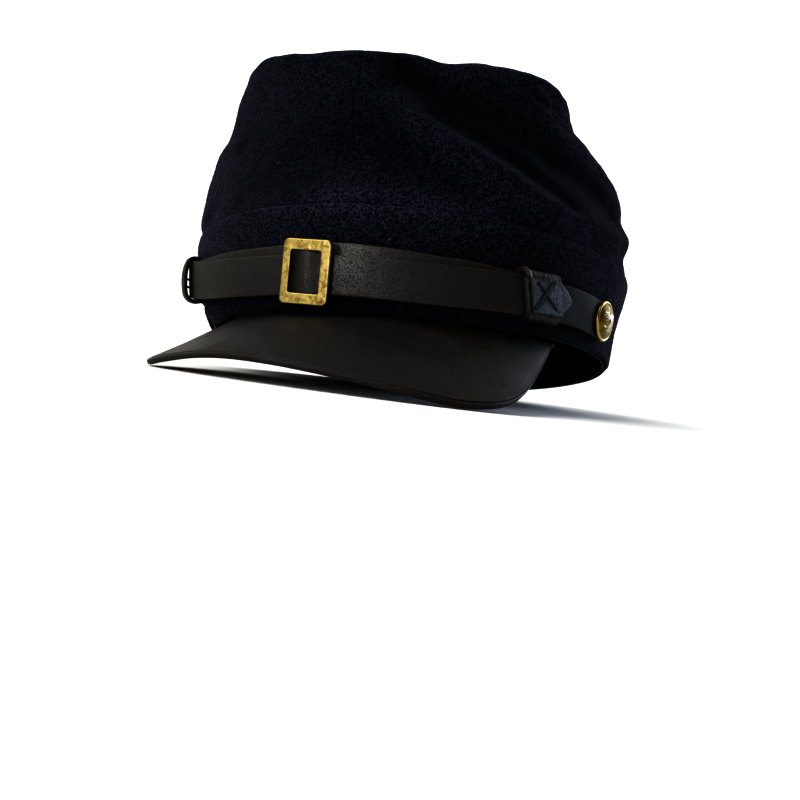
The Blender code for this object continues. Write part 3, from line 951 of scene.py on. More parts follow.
@dataclass
class Bench:
    """Where pieces are put together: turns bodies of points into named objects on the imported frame."""

    placement: Placement
    built: list[bpy.types.Object] = field(default_factory=list)

    def put(
        self, name: str, solids: list[Solid], slot: Slot, stands_for: tuple[str, ...] = (), crease: float = 50
    ) -> None:
        """Makes one piece and joins it to the frame.

        Args:
            name: the piece's name.
            solids: its bodies, in the band's frame and in millimetres.
            slot: the record's material slot.
            stands_for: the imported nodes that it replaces.
            crease: edges sharper than this many degrees stay sharp.
        """
        counts = np.array([len(solid.points) for solid in solids])
        offsets = np.concatenate([[0], np.cumsum(counts)[:-1]])
        points = self.placement.metres(np.concatenate([solid.points for solid in solids]))
        corners = np.concatenate([solid.corners + start for solid, start in zip(solids, offsets)])
        sizes = np.concatenate([solid.sizes for solid in solids])
        mesh = bpy.data.meshes.new(name)
        mesh.vertices.add(len(points))
        mesh.vertices.foreach_set("co", points.astype(np.float32).ravel())
        mesh.loops.add(len(corners))
        mesh.loops.foreach_set("vertex_index", corners.astype(np.int32))
        mesh.polygons.add(len(sizes))
        mesh.polygons.foreach_set("loop_start", (np.cumsum(sizes) - sizes).astype(np.int32))
        finishes = list(dict.fromkeys(solid.finish for solid in solids))
        for finish in finishes:
            mesh.materials.append(finish)
        which = np.concatenate([np.full(len(s.sizes), finishes.index(s.finish)) for s in solids])
        mesh.polygons.foreach_set("material_index", which.astype(np.int32))
        mesh.update(calc_edges=True)
        layer = mesh.uv_layers.new(name="surface")
        surface = np.concatenate([s.surface for s in solids])
        layer.data.foreach_set("uv", surface.astype(np.float32).ravel())
        for mark in sorted({key for solid in solids for key in solid.marks}):
            values = [s.marks.get(mark, np.zeros(len(s.points))) for s in solids]
            attribute = mesh.attributes.new(mark, "FLOAT", "POINT")
            attribute.data.foreach_set("value", np.concatenate(values).astype(np.float32))
        mesh.shade_smooth()
        mesh.set_sharp_from_angle(angle=radians(crease))
        piece = bpy.data.objects.new(name, mesh)
        bpy.context.scene.collection.objects.link(piece)
        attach(piece, "root")
        if stands_for:
            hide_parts(*stands_for)
        self.built.append(piece)
        log.info("%s: %d vertices, %d faces, %s", name, len(points), len(sizes), slot.value)


# ---- the soft crown


@dataclass(frozen=True)
class Fold:
    """One fold of the crown: a bell across the distance from a line on the unrolled wall."""

    half_width: float
    outward: float
    line: tuple[Pair, ...]  # angle and share of the wall's height
    unrolled: ClassVar[Pair] = (1.6, 75.0)  # millimetres in a degree and in the wall's height

    def push(self, angle: Array, share: Array) -> Array:
        """The fold's outward push: outward * exp(-(distance from the line / half width)^2).

        Args:
            angle: degrees round from the front.
            share: height on the wall from 0 to 1.

        Returns:
            Millimetres outwards.
        """
        points = np.array(self.line) * self.unrolled
        turned = degrees_from(angle, self.line[0][0]) + self.line[0][0]
        here = np.stack(np.broadcast_arrays(turned, share), -1) * self.unrolled
        away = [from_line(here - start, end - start) for start, end in zip(points[:-1], points[1:])]
        return self.outward * hump(np.min(away, axis=0), self.half_width)


@dataclass
class Crown:
    """The soft wool crown: a side wall that slumps forward, and the round tip on top of it."""

    line: BandLine
    cloth: Material
    wall: float = 2.4
    inset: float = 0.8  # the wall starts this far inside the ridge
    gap: float = 0.3
    half_width: float = 65.0
    half_length: float = 61.0
    squareness: float = 2.2  # of the tip's outline, where 2 is a true ellipse
    centre_y: float = -34.0
    tip_height: float = 95.7
    tip_rise: float = 0.03
    tip_sag: float = 3.5
    tip_wall: float = 2.4
    roll: Pair = (4.5, 3.2)  # how far the wall's top turns in, and how far it rises above the rim
    seams: Pair = (-3.6, 178.0)  # angles of the front and the back seam
    columns: int = 500
    foot_rows: int = 15
    rows: int = 120
    tip_rows: int = 76  # on the tip's upper face
    swell: Table = (
        # angle, low, high, lift; the outermost rows lie past the back, so that it has no crease
        (-230, 7.0, 8.5, 4.5),
        (-180, 12.0, 13.0, 8.0),
        (-130, 8.0, 8.0, 5.0),
        (-90, 8.0, 1.5, 1.5),
        (-45, -0.8, -2.3, 0.0),
        (0, -0.5, 0.5, 0.0),
        (45, 0.5, 0.0, 0.0),
        (90, 2.9, 4.2, 0.0),
        (130, 7.0, 8.5, 4.5),
        (180, 12.0, 13.0, 8.0),
        (230, 8.0, 8.0, 5.0),
    )
    waves: Table = (
        # waves in the tip's outline: angle, half width in degrees, up, out
        (-75, 10, -0.9, 0.0),
        (-62, 11, 1.2, 0.5),
        (-46, 8, 3.3, 0.1),
        (-34, 8, 1.9, 0.0),
        (-12, 16, 1.1, -0.2),
        (24, 9, -2.4, 0.0),
        (37, 8, -0.5, 0.2),
        (60, 14, 0.2, 1.4),
        (85, 12, -0.2, -1.2),
        (105, 14, -1.3, -1.6),
    )
    folds: tuple[Fold, ...] = (
        Fold(6.5, 3.0, (
            (9.5, 0.68), (20, 0.51), (31, 0.375), (42, 0.24), (54, 0.16), (75, 0.17), (95, 0.24)
        )),
        Fold(9.0, 2.3, ((14, 0.56), (22, 0.43), (32, 0.29), (42, 0.17), (50, 0.10))),
        Fold(9.0, -3.4, ((14, 0.86), (32, 0.71), (46, 0.60), (60, 0.48), (84, 0.38))),
        Fold(13.0, -2.2, ((-15, 0.33), (-8, 0.31), (2, 0.30), (9, 0.26), (15, 0.21), (21, 0.14))),
        Fold(9.0, 1.1, ((-66, 0.86), (-60, 0.70), (-50, 0.50))),
        Fold(4.0, 0.6, ((-80, 0.55), (-52, 0.51))),
        Fold(6.0, -4.8, ((66, 0.86), (90, 0.84), (125, 0.82))),
        Fold(9.0, 1.5, ((84, 0.44), (100, 0.50), (125, 0.54))),
        Fold(5.0, -1.3, ((60, 0.97), (90, 0.96), (120, 0.96))),
        Fold(6.0, -1.4, ((88, 0.14), (130, 0.10))),
        Fold(8.0, 1.4, ((-90, 0.08), (-60, 0.08))),
    )
    creases: tuple[Fold, ...] = (
        Fold(2.6, 0.25, ((12, 0.655), (24, 0.47), (36, 0.33), (48, 0.20), (60, 0.17))),
        Fold(4.2, -1.3, ((19, 0.66), (30, 0.53), (40, 0.42), (50, 0.32), (58, 0.24))),
        Fold(1.8, 0.8, ((59.2, 0.91), (65.5, 0.87), (73.8, 0.82))),
        Fold(2.2, -0.7, ((54, 0.88), (70, 0.77))),
        Fold(5.0, 0.7, ((11, 0.06), (24, 0.10))),
        Fold(3.0, 0.5, ((-70, 0.56), (-48, 0.50))),
        Fold(4.0, -0.5, ((-30, 0.94), (-12, 0.60))),
        Fold(3.5, 0.7, ((84, 0.60), (120, 0.40))),
        Fold(5.0, -1.0, ((120, 0.75), (150, 0.45))),
        Fold(5.0, 0.9, ((150, 0.50), (200, 0.30))),
        Fold(5.0, -1.0, ((-150, 0.70), (-110, 0.45))),
        Fold(4.0, 0.8, ((-140, 0.35), (-100, 0.20))),
        Fold(3.5, 0.6, ((-100, 0.80), (-78, 0.55))),
        Fold(6.0, -1.0, ((170, 0.80), (215, 0.65))),
    )
    felt: Table = ((0.60, 21.0, 11), (0.26, 8.0, 12), (0.11, 3.6, 13), (0.06, 2.0, 14))  # height, size, seed
    tip_felt: Table = ((0.8, 26.0, 31), (0.35, 9.0, 32), (0.12, 3.6, 33))
    pale: tuple[Fold, ...] = (
        # painted light, laid into the nap's colour: along the ridge's near flank, round the foot and on the
        # top edge
        Fold(8.0, 0.85, ((14, 0.54), (26, 0.35), (38, 0.18), (50, 0.10), (62, 0.10))),
        Fold(8.0, 1.0, ((-8, 0.03), (32, 0.02))),
        Fold(5.0, 0.6, ((14, 0.98), (46, 0.98))),
    )
    close: tuple[Fold, ...] = (
        # painted shade, laid into the nap's colour: in the valley beyond the ridge and in the front's hollow
        Fold(9.0, 0.95, ((8, 0.93), (16, 0.84), (32, 0.61), (45, 0.49), (60, 0.44), (80, 0.38))),
        Fold(7.5, 0.85, ((45, 0.38), (53, 0.31), (62, 0.26), (72, 0.27), (84, 0.30))),
        Fold(10.0, 0.95, ((60, 0.42), (72, 0.38), (84, 0.38))),
        Fold(9.0, 0.40, ((-40, 0.20), (-26, 0.20), (-12, 0.18))),
        Fold(14.0, 0.45, ((-36, 0.46), (-15, 0.50), (0, 0.50), (8, 0.44))),
    )

    @staticmethod
    def outward(angle: Array) -> Array:
        """Level unit vectors (sin(angle), -cos(angle), 0)."""
        turn = np.radians(angle)
        return np.stack([np.sin(turn), -np.cos(turn), 0 * turn], -1)

    def rim(self, angle: Array, inset: Array = 0.0, waved: Array = 1.0) -> Array:
        """The tip's outline: the superellipse |x/a|^n + |y/b|^n = 1 with bell-shaped waves.

        Args:
            angle: degrees round from the front, about the tip's own centre.
            inset: millimetres towards the centre.
            waved: share of the waves that is kept.

        Returns:
            Points with a last axis of three.
        """
        angle, inset, waved = np.broadcast_arrays(np.asarray(angle, float), inset, waved)
        turn, n = np.radians(angle), self.squareness
        reach = (np.abs(np.sin(turn)) ** n + np.abs(np.cos(turn)) ** n) ** (-1 / n)
        near = [hump(degrees_from(angle, row[0]), row[1]) for row in self.waves]
        up = waved * sum(row[2] * wave for row, wave in zip(self.waves, near))
        out = waved * sum(row[3] * wave for row, wave in zip(self.waves, near))
        x = ((self.half_width + out) * reach - inset) * np.sin(turn)
        y = self.centre_y - ((self.half_length + out) * reach - inset) * np.cos(turn)
        return np.stack([x, y, self.tip_height + self.tip_rise * (y - self.centre_y) + up], -1)

    def pushed(self, folds: tuple[Fold, ...], angle: Array, share: Array) -> Array:
        """Outward push of several folds, which fade out at the two sewn edges."""
        push = sum(fold.push(angle, share) for fold in folds)
        return push * np.clip(share / 0.06, 0, 1) * np.clip((1 - share) / 0.03, 0, 1)

    def smooth_wall(self, angle: Array, share: Array) -> Array:
        """The wall's outer face with its main folds only.

        A straight line from the band's ridge to the tip's edge, bowed outwards by
        6.75 * (low * s * (1 - s)^2 + high * s^2 * (1 - s)) and lifted by 4 * lift * s * (1 - s).

        Args:
            angle: degrees round from the front, one row.
            share: height on the wall from 0 to 1, one column.

        Returns:
            The face's points.
        """
        foot = self.line.beside(angle, self.line.height, -self.inset) + (0, 0, self.gap)
        low, high, lift = columns_at(self.swell, angle)
        bow = 6.75 * (low * share * (1 - share) ** 2 + high * share**2 * (1 - share))
        surface = foot + (self.rim(angle) - foot) * share[..., None]
        surface = surface + self.outward(angle) * (bow + self.pushed(self.folds, angle, share))[..., None]
        surface[..., 2] += 4 * lift * share * (1 - share)
        return surface

    def relief(self, points: Array, angle: Array, share: Array) -> Array:
        """Fine outward push: small creases, gathers at both seams, pressed-open seams and lumpy felt.

        Args:
            points: the smooth wall's points.
            angle: degrees round from the front.
            share: height on the wall from 0 to 1.

        Returns:
            Millimetres along the wall's normal.
        """
        angle, share = np.broadcast_arrays(angle, share)
        inside = np.clip(share / 0.06, 0, 1)
        push = self.pushed(self.creases, angle, share)
        ring, up = self.outward(angle) * 60, (0, 0, 1) * share[..., None]
        push = push + 0.55 * lumps(ring + up * 9, 7.0, 3) * hump(share - 0.05, 0.12)
        push = push + 0.35 * lumps(ring + up * 12, 8.0, 5) * hump(share - 0.95, 0.11)
        for seam in self.seams:
            away = self.from_seam(angle, share, seam)
            sewn = 0.25 + 0.75 * fade(share, 0.35, 0.95)
            push = push + sewn * (0.16 * hump(np.abs(away) - 2.0, 1.1) - 0.34 * hump(away, 0.40))
        return (push + rough(points, self.felt)) * (0.25 + 0.75 * inside)

    @staticmethod
    def from_seam(angle: Array, share: Array, seam: float) -> Array:
        """Millimetres round from a seam, which wanders by a few tenths of a millimetre."""
        return degrees_from(angle, seam) * 1.5 + 0.35 * np.sin(share * 21.0) + 0.2 * np.sin(share * 47.0)

    def turns(self) -> Array:
        """Sets out the wall's columns: even all round, and packed tighter at the two seams.

        Returns:
            Their angles, as one row.
        """
        even = np.linspace(-180, 180, self.columns, endpoint=False)
        near = np.linspace(-2.4, 2.4, 33)
        fine = np.concatenate([seam + near for seam in self.seams])
        apart = np.min([np.abs(even - seam) for seam in self.seams], axis=0) > 2.5
        return np.sort(np.concatenate([even[apart], np.where(fine >= 180, fine - 360, fine)]))[None]

    def wall_face(self, angle: Array, share: Array) -> Array:
        """The wall's outer face with every crease, up to the rim.

        Args:
            angle: degrees round from the front, one row.
            share: height on the wall from 0 to 1, one column.

        Returns:
            The face's points.
        """
        smooth = self.smooth_wall(angle, share)
        normal = grid_normals(smooth, False, True)
        normal *= np.sign((normal * self.outward(angle)).sum(-1, keepdims=True))
        return smooth + normal * self.relief(smooth, angle, share)[..., None]

    def rolled_top(self, angle: Array, below: Array) -> Array:
        """The wall's soft top edge: a quarter ellipse inwards from the rim, then down to the seam.

        It starts where the outer face ends: place = end - outward * roll[0] * (1 - cos v)
        + up * roll[1] * sin v, and its last rows dip into the seam with the tip and run on under it.

        Args:
            angle: degrees round from the front, one row.
            below: the outer face's last row.

        Returns:
            Rows of points, from the rim inwards.
        """
        inward, rise = self.roll
        turn = np.radians(np.linspace(0, 90, 16)[1:])
        steps = np.stack([inward * (1 - np.cos(turn)), rise * np.sin(turn)], -1)
        dip = [(inward + 0.5, rise - 0.35), (inward + 0.6, 1.0)]
        under = [(inward + 3.4, 0.4), (inward + 3.4, -0.6), (3.0, -1.0)]
        steps = np.concatenate([steps, dip, under])
        settle = fade(np.arange(len(steps)), 8.0, 15.0)[:, None, None]
        start = below * (1 - settle) + self.rim(angle) * settle
        rows = start - self.outward(angle) * steps[:, :1, None] + (0, 0, 1) * steps[:, 1:, None]
        bumpy = np.where(np.arange(len(steps)) < 16, 0.25, 0.0)[:, None]
        bumps = bumpy * lumps(rows, 6.0, 22) + 0.4 * bumpy * lumps(rows, 2.6, 23)
        return rows + (0, 0, 1) * bumps[..., None]

    def wall_skin(self) -> Skin:
        """The whole side wall: tucked seam allowance, outer face, rolled top and inner face.

        Returns:
            A skin closed both ways, marked where light and shade are painted into the nap and where the seams
            are.
        """
        angle = self.turns()
        share = np.concatenate([np.linspace(0, 0.1, self.foot_rows + 1)[:-1], np.linspace(0.1, 1, self.rows)])
        outer = self.wall_face(angle, share[:, None])
        inner_share = np.linspace(0.97, 0, 18)[:, None]
        smooth = self.smooth_wall(angle, inner_share)
        level = self.outward(angle)
        normal = grid_normals(smooth, False, True)
        normal *= np.sign((normal * level).sum(-1, keepdims=True))
        near_seam = np.clip(np.minimum(inner_share, 1 - inner_share) / 0.12, 0, 1)[..., None]
        inner = smooth - self.wall * unit(normal * near_seam + level * (1 - near_seam))
        inner = inner + level * 0.3 * lumps(inner, 9.0, 21)[..., None]
        tuck_height = np.array([37.0, 34.5, 31.8])[:, None]
        tuck = self.line.beside(angle, tuck_height, -1.55)
        hidden = self.line.beside(angle, tuck_height[::-1], -2.55)
        before = np.concatenate([hidden[:2], tuck[::-1]])
        points = np.concatenate([before, outer, self.rolled_top(angle, outer[-1:]), inner])
        marks = {name: np.zeros(points.shape[:2]) for name in ("seam", "pale", "close")}
        first, last = len(before), len(before) + len(share)
        up = share[:, None]
        sewn = fade(up, 0.25, 0.95) * (0.75 + 0.5 * np.sin(up * 160.0))
        stitched = sum(hump(self.from_seam(angle, up, at), 0.5) for at in self.seams)
        marks["seam"][first:last] = (stitched * 0.9 * sewn).clip(0, 1)
        # painted light and painted shade on the outer face, carried on over the rolled top
        for name, folds in (("pale", self.pale), ("close", self.close)):
            marks[name][first:last] = sum(fold.push(angle, up) for fold in folds).clip(0, 1)
            marks[name][last : last + 15] = marks[name][last - 1]
        return Skin(points, self.cloth, round_rows=True, round_columns=True, marks=marks)

    def tip_skin(self) -> Skin:
        """The round tip: rings that shrink towards the centre and sag by sag * (1 - s^2) below its edge.

        Returns:
            A skin from the middle of its top over the edge to the middle of its underside.
        """
        angle = np.linspace(-180, 180, 384, endpoint=False)[None]
        size = np.linspace(0.89, 1.0, 22)
        size = np.concatenate([np.linspace(0.03, 0.88, self.tip_rows - len(size)), size])[:, None]

        def disc(size: Array) -> Array:
            """Points of the plain tip.

            Args:
                size: shares of the tip's radius, one column.

            Returns:
                One ring of points per share.
            """
            start = self.roll[0] + 1.0
            edge = self.rim(angle, start, size**5)
            flat = self.rim(angle, start, 0.0)[..., :2] - (0, self.centre_y)
            ring = np.concatenate([(edge[..., :2] - (0, self.centre_y)) * size[..., None], edge[..., 2:]], -1)
            ring[..., 2] -= self.tip_rise * flat[..., 1] * (1 - size) + self.tip_sag * (1 - size**2)
            return ring + (0, self.centre_y, 0)

        base = disc(size)
        spokes = self.outward(angle) * 55 + (0, 0, 8) * size[..., None]
        gathers = 0.5 * lumps(spokes, 7.0, 34) * hump(size - 0.9, 0.09)
        rise = rough(base, self.tip_felt) + gathers - 1.6 * hump(size, 0.45)
        rise = rise * fade(1 - size, 0.0, 0.05)
        edge_round = np.sqrt(np.clip(1 - ((size - 0.965) / 0.036).clip(0, 1) ** 2, 0, 1))
        top = base + (0, 0, 1) * (rise + 0.85 + (self.tip_wall - 0.2) * edge_round)[..., None]
        low_size = np.concatenate([[0.99], np.linspace(0.96, 0.1, 12)])[:, None]
        bottom = disc(low_size) + (0, 0, 0.8) - (0, 0, 1.6) * hump(low_size, 0.45)[..., None]
        return Skin(np.concatenate([top, bottom]), self.cloth, round_columns=True, shut_rows=True)

    def build(self, bench: Bench) -> None:
        """Puts the side wall and the tip on the bench."""
        bench.put("crown_wall_cloth", [self.wall_skin().solid()], Slot.WOOL, ("crown",), crease=60)
        bench.put("crown_tip_cloth", [self.tip_skin().solid()], Slot.WOOL, ("crown_top",), crease=60)


# ---- the band and the sweatband


@dataclass
class Band:
    """The stiff wool band with a rolled ridge at its top and its own join at the back."""

    line: BandLine
    cloth: Material
    join: float = 176.0  # angle of the band's own join
    columns: int = 480
    felt: Table = ((0.28, 17.0, 41), (0.16, 6.0, 42), (0.08, 2.6, 43))  # height, size, seed
    pulls: Table = (
        # angle, half width in degrees, outward, height where it starts, height where it is full
        (-78.0, 16.0, 3.2, 23.0, 29.0),
        (-78.0, 16.0, -1.1, 22.0, 10.0),
        (97.0, 22.0, 0.6, 22.0, 33.0),
        (97.0, 22.0, -1.3, 28.0, 14.0),
    )
    inside: Table = (
        # height, distance out from the line: the thin wall above, the thick one below
        (37.3, -1.25),
        (34.0, -1.3),
        (31.4, -1.35),
        (30.6, -2.6),
        (20.0, -2.6),
        (10.0, -2.6),
        (0.6, -2.6),
        (0.0, -2.1),
    )

    def outer(self, angle: Array, height: Array) -> Array:
        """The band's outer face: nearly straight, with a rolled ridge, a low join and lumpy felt.

        Bells round the angles of `pulls` push it out or in, above or below the heights given there.

        Args:
            angle: degrees round from the front, one row.
            height: above the bottom edge, one column.

        Returns:
            The face's points.
        """
        up = height / self.line.height
        bulge = 0.36 * hump(up - 0.925, 0.075) + 0.15 * np.sin(np.pi * up)
        bulge = bulge - 1.0 * fade(up, 0.962, 1.0) ** 2 - 0.7 * fade(-up, -0.035, 0.0) ** 2
        place = self.line.beside(angle, height, 0.0)
        bulge = bulge + rough(place, self.felt)
        bulge = bulge - 1.6 * fade(height, 33.0, 37.8) * fade(height, 23.0, 29.0) * hump(angle + 78, 16)
        for at, wide, outward, low, high in self.pulls:
            bulge = bulge + outward * fade(height, low, high) * hump(angle - at, wide)
        away = degrees_from(angle, self.join) * 1.6
        bulge = bulge + 0.3 * hump(np.abs(away) - 3.0, 1.4) - 0.5 * hump(away, 0.55)
        height = self.line.cut(angle, height + 0.25 * lumps(place * (1, 1, 0), 11.0, 44) * up)
        return self.line.beside(angle, height, bulge)

    def skin(self) -> Skin:
        """Outer face, rolled top, thin upper wall that the crown tucks behind, and thick lower wall.

        Returns:
            A skin closed both ways, marked along its worn edges and with painted light along the top of its
            front.
        """
        angle = np.linspace(-180, 180, self.columns, endpoint=False)[None]
        runs = [(0.0, 1.6, 7), (1.6, 34.0, 42), (34.0, self.line.height, 14)]
        up = np.concatenate([np.linspace(*run)[:-1] for run in runs] + [[self.line.height]])
        inner = [self.line.beside(angle, self.line.cut(angle, height), out)[0] for height, out in self.inside]
        points = np.concatenate([self.outer(angle, up[:, None]), np.array(inner)])
        height = np.concatenate([up, [row[0] for row in self.inside]])[:, None]
        worn = 0.45 + 0.25 * lumps(self.line.beside(angle, 36.0, 0.0), 16.0, 45)
        edge = worn * hump(height - 35.8, 1.3) + 0.5 * hump(height - 0.3, 0.9)
        # painted light: the nap made paler along the top of the band's front
        pale = 0.6 * hump(height - 36.0, 5.0) * hump(angle - 8.0, 30.0)
        marks = {"edge": edge.clip(0, 1), "pale": pale}
        return Skin(points, self.cloth, round_rows=True, round_columns=True, marks=marks)

    def build(self, bench: Bench) -> None:
        """Puts the band on the bench."""
        bench.put("band_cloth", [self.skin().solid()], Slot.WOOL, ("band",), crease=60)


@dataclass
class Sweatband:
    """The thin leather strip inside the band, sewn on just above the band's bottom edge."""

    line: BandLine
    leather: Material
    thread: Material
    outer_inset: float = 2.9
    wall: float = 1.0
    below: float = 0.3  # it hangs this far below the band
    top: float = 31.0
    seam_height: float = 2.6
    ripples: Table = ((0.35, 13.0, 51), (0.15, 5.0, 52))  # height, size, seed

    def skin(self) -> Skin:
        """A thin closed ring whose inner face ripples: outer rows upwards, then inner rows down.

        Returns:
            A skin closed both ways, marked along its two cut edges.
        """
        angle = np.linspace(-180, 180, 320, endpoint=False)[None]
        even = np.linspace(-self.below + 0.7, self.top - 0.6, 18)
        up = np.concatenate([[-self.below + 0.25], even, [self.top - 0.2]])[:, None]
        height = self.line.cut(angle, up)
        round_off = np.where(up > self.top - 0.3, 0.25, 0.0)
        outer = self.line.beside(angle, height, -self.outer_inset - round_off)
        place = self.line.beside(angle, up, 0.0)
        ripple = rough(place, self.ripples).clip(-0.25, 0.5) * fade(up, 2.0, 12.0)
        ripple = ripple + 0.22 * hump(up - self.seam_height, 0.5)
        inner = self.line.beside(angle, height, -self.outer_inset - self.wall + round_off - ripple)
        lip = np.concatenate([up, up[::-1]])
        edge = hump(lip + self.below - 0.2, 0.35) + hump(lip - self.top + 0.2, 0.4) + 0 * angle
        marks = {"edge": edge.clip(0, 1)}
        points = np.concatenate([outer, inner[::-1]])
        return Skin(points, self.leather, round_rows=True, round_columns=True, marks=marks)

    def stitches(self) -> Solid:
        """A row of thread along the bottom edge, one stitch every 3.6 mm of the inner face.

        Returns:
            One body that holds every stitch.
        """
        angle = np.linspace(-180, 180, 156, endpoint=False)
        height = self.line.cut(angle, self.seam_height)
        here, frames = self.line.axes(angle, height, -self.outer_inset - self.wall - 0.28)
        return scattered(stitch(2.6, 0.27, self.thread), here, frames)

    def build(self, bench: Bench) -> None:
        """Puts the sweatband and its stitches on the bench."""
        bench.put("sweatband_leather", [self.skin().solid()], Slot.LEATHER, ("sweatband",))
        bench.put("sweatband_stitches", [self.stitches()], Slot.LEATHER, crease=38)


def stitch(length: float, radius: float, thread: Material) -> Solid:
    """One stitch: a short rod along its first axis, its radius following the square root of 1 - x^4.

    Args:
        length: from end to end.
        radius: of the thread.
        thread: its material.

    Returns:
        A closed body of a few dozen faces.
    """
    x = np.array([-0.97, -0.7, 0.0, 0.7, 0.97])[:, None]
    turn = np.linspace(0, 2 * np.pi, 6, endpoint=False)[None]
    wide = radius * np.sqrt(1 - x**4)
    dip = -0.35 * radius * x**2
    points = np.stack([x * length / 2 + 0 * turn, wide * np.cos(turn), wide * np.sin(turn) + dip], -1)
    return Skin(points, thread, round_columns=True, shut_rows=True).solid()


# ---- loose fibres on the cloth


@dataclass
class Fuzz:
    """Loose wool fibres, each a thin spike that leans out of the cloth."""

    hair: Material
    length: Pair = (0.5, 1.7)
    width: float = 0.055
    lean: Pair = (0.12, 0.75)  # outward share of a fibre's direction
    seed: int = 7

    def spikes(self, points: Array, normals: Array, chance: np.random.Generator) -> Solid:
        """Fibres rooted at the points.

        Each runs along t + lean * n, where t is a random direction in the surface and n its normal.

        Args:
            points: roots on the cloth.
            normals: outward directions there.
            chance: the source of the random choices.

        Returns:
            One body with every fibre, each a tetrahedron of four faces.
        """
        count = len(points)
        random = unit(chance.normal(size=(count, 3)))
        flat = unit(random - (random * normals).sum(-1, keepdims=True) * normals)
        along = unit(flat + chance.uniform(*self.lean, (count, 1)) * normals)
        across = unit(np.cross(along, normals))
        length = chance.uniform(*self.length, count)
        aside = np.cross(along, across)
        frames = np.stack([along * length[:, None], across * self.width, aside * self.width], 1)
        corners = np.array([[0, 0.5, -0.5], [0, -0.5, -0.5], [0, 0.0, 0.6], [1, 0, 0]])
        faces = np.array([0, 1, 2, 0, 3, 1, 1, 3, 2, 2, 3, 0])
        shape = Solid(corners, faces, np.full(4, 3), np.zeros((12, 2)), self.hair).facing_out()
        return scattered(shape, points - normals * 0.08, frames)

    def on_grid(self, surface: Array, count: int) -> Solid:
        """Fibres spread over a grid of points.

        A root is picked at random inside a random cell, with cells weighted by their area, and stands
        where the cell's four corners put it by their shares.

        Args:
            surface: an outer face, rows by columns, closed along its columns.
            count: how many fibres.

        Returns:
            One body with every fibre.
        """
        chance = np.random.default_rng(self.seed)
        normals = grid_normals(surface, False, True)
        outward = surface - surface.mean((0, 1))
        normals *= np.sign((normals * outward).sum())
        columns = surface.shape[1]
        beside = np.roll(surface, -1, 1)
        area = np.linalg.norm(np.cross((beside - surface)[:-1], np.diff(surface, axis=0)), axis=-1).ravel()
        cell = chance.choice(area.size, count, p=area / area.sum())
        i, j = np.divmod(cell, columns)
        down, over = chance.uniform(size=(2, count, 1))
        j_next = (j + 1) % columns
        upper = surface[i, j] * (1 - over) + surface[i, j_next] * over
        lower = surface[i + 1, j] * (1 - over) + surface[i + 1, j_next] * over
        return self.spikes(upper * (1 - down) + lower * down, normals[i, j], chance)

    def build(self, bench: Bench, crown: Crown, band: Band) -> None:
        """Puts the fibres of the wall, the tip and the band on the bench.

        Args:
            bench: where the pieces are put together.
            crown: the crown they stand on.
            band: the band they stand on.
        """
        angle = np.linspace(-180, 180, 512, endpoint=False)[None]
        wall = crown.wall_face(angle, np.linspace(0.02, 0.99, 90)[:, None])
        tip = crown.tip_skin().points[: crown.tip_rows]
        side = band.outer(angle, np.linspace(0.4, 37.6, 50)[:, None])
        for name, surface, count in (
            ("crown_wall_nap", wall, 42000), ("crown_tip_nap", tip[::-1], 9000), ("band_nap", side, 15000)
        ):
            bench.put(name, [self.on_grid(surface, count)], Slot.WOOL, crease=80)


# ---- the peak


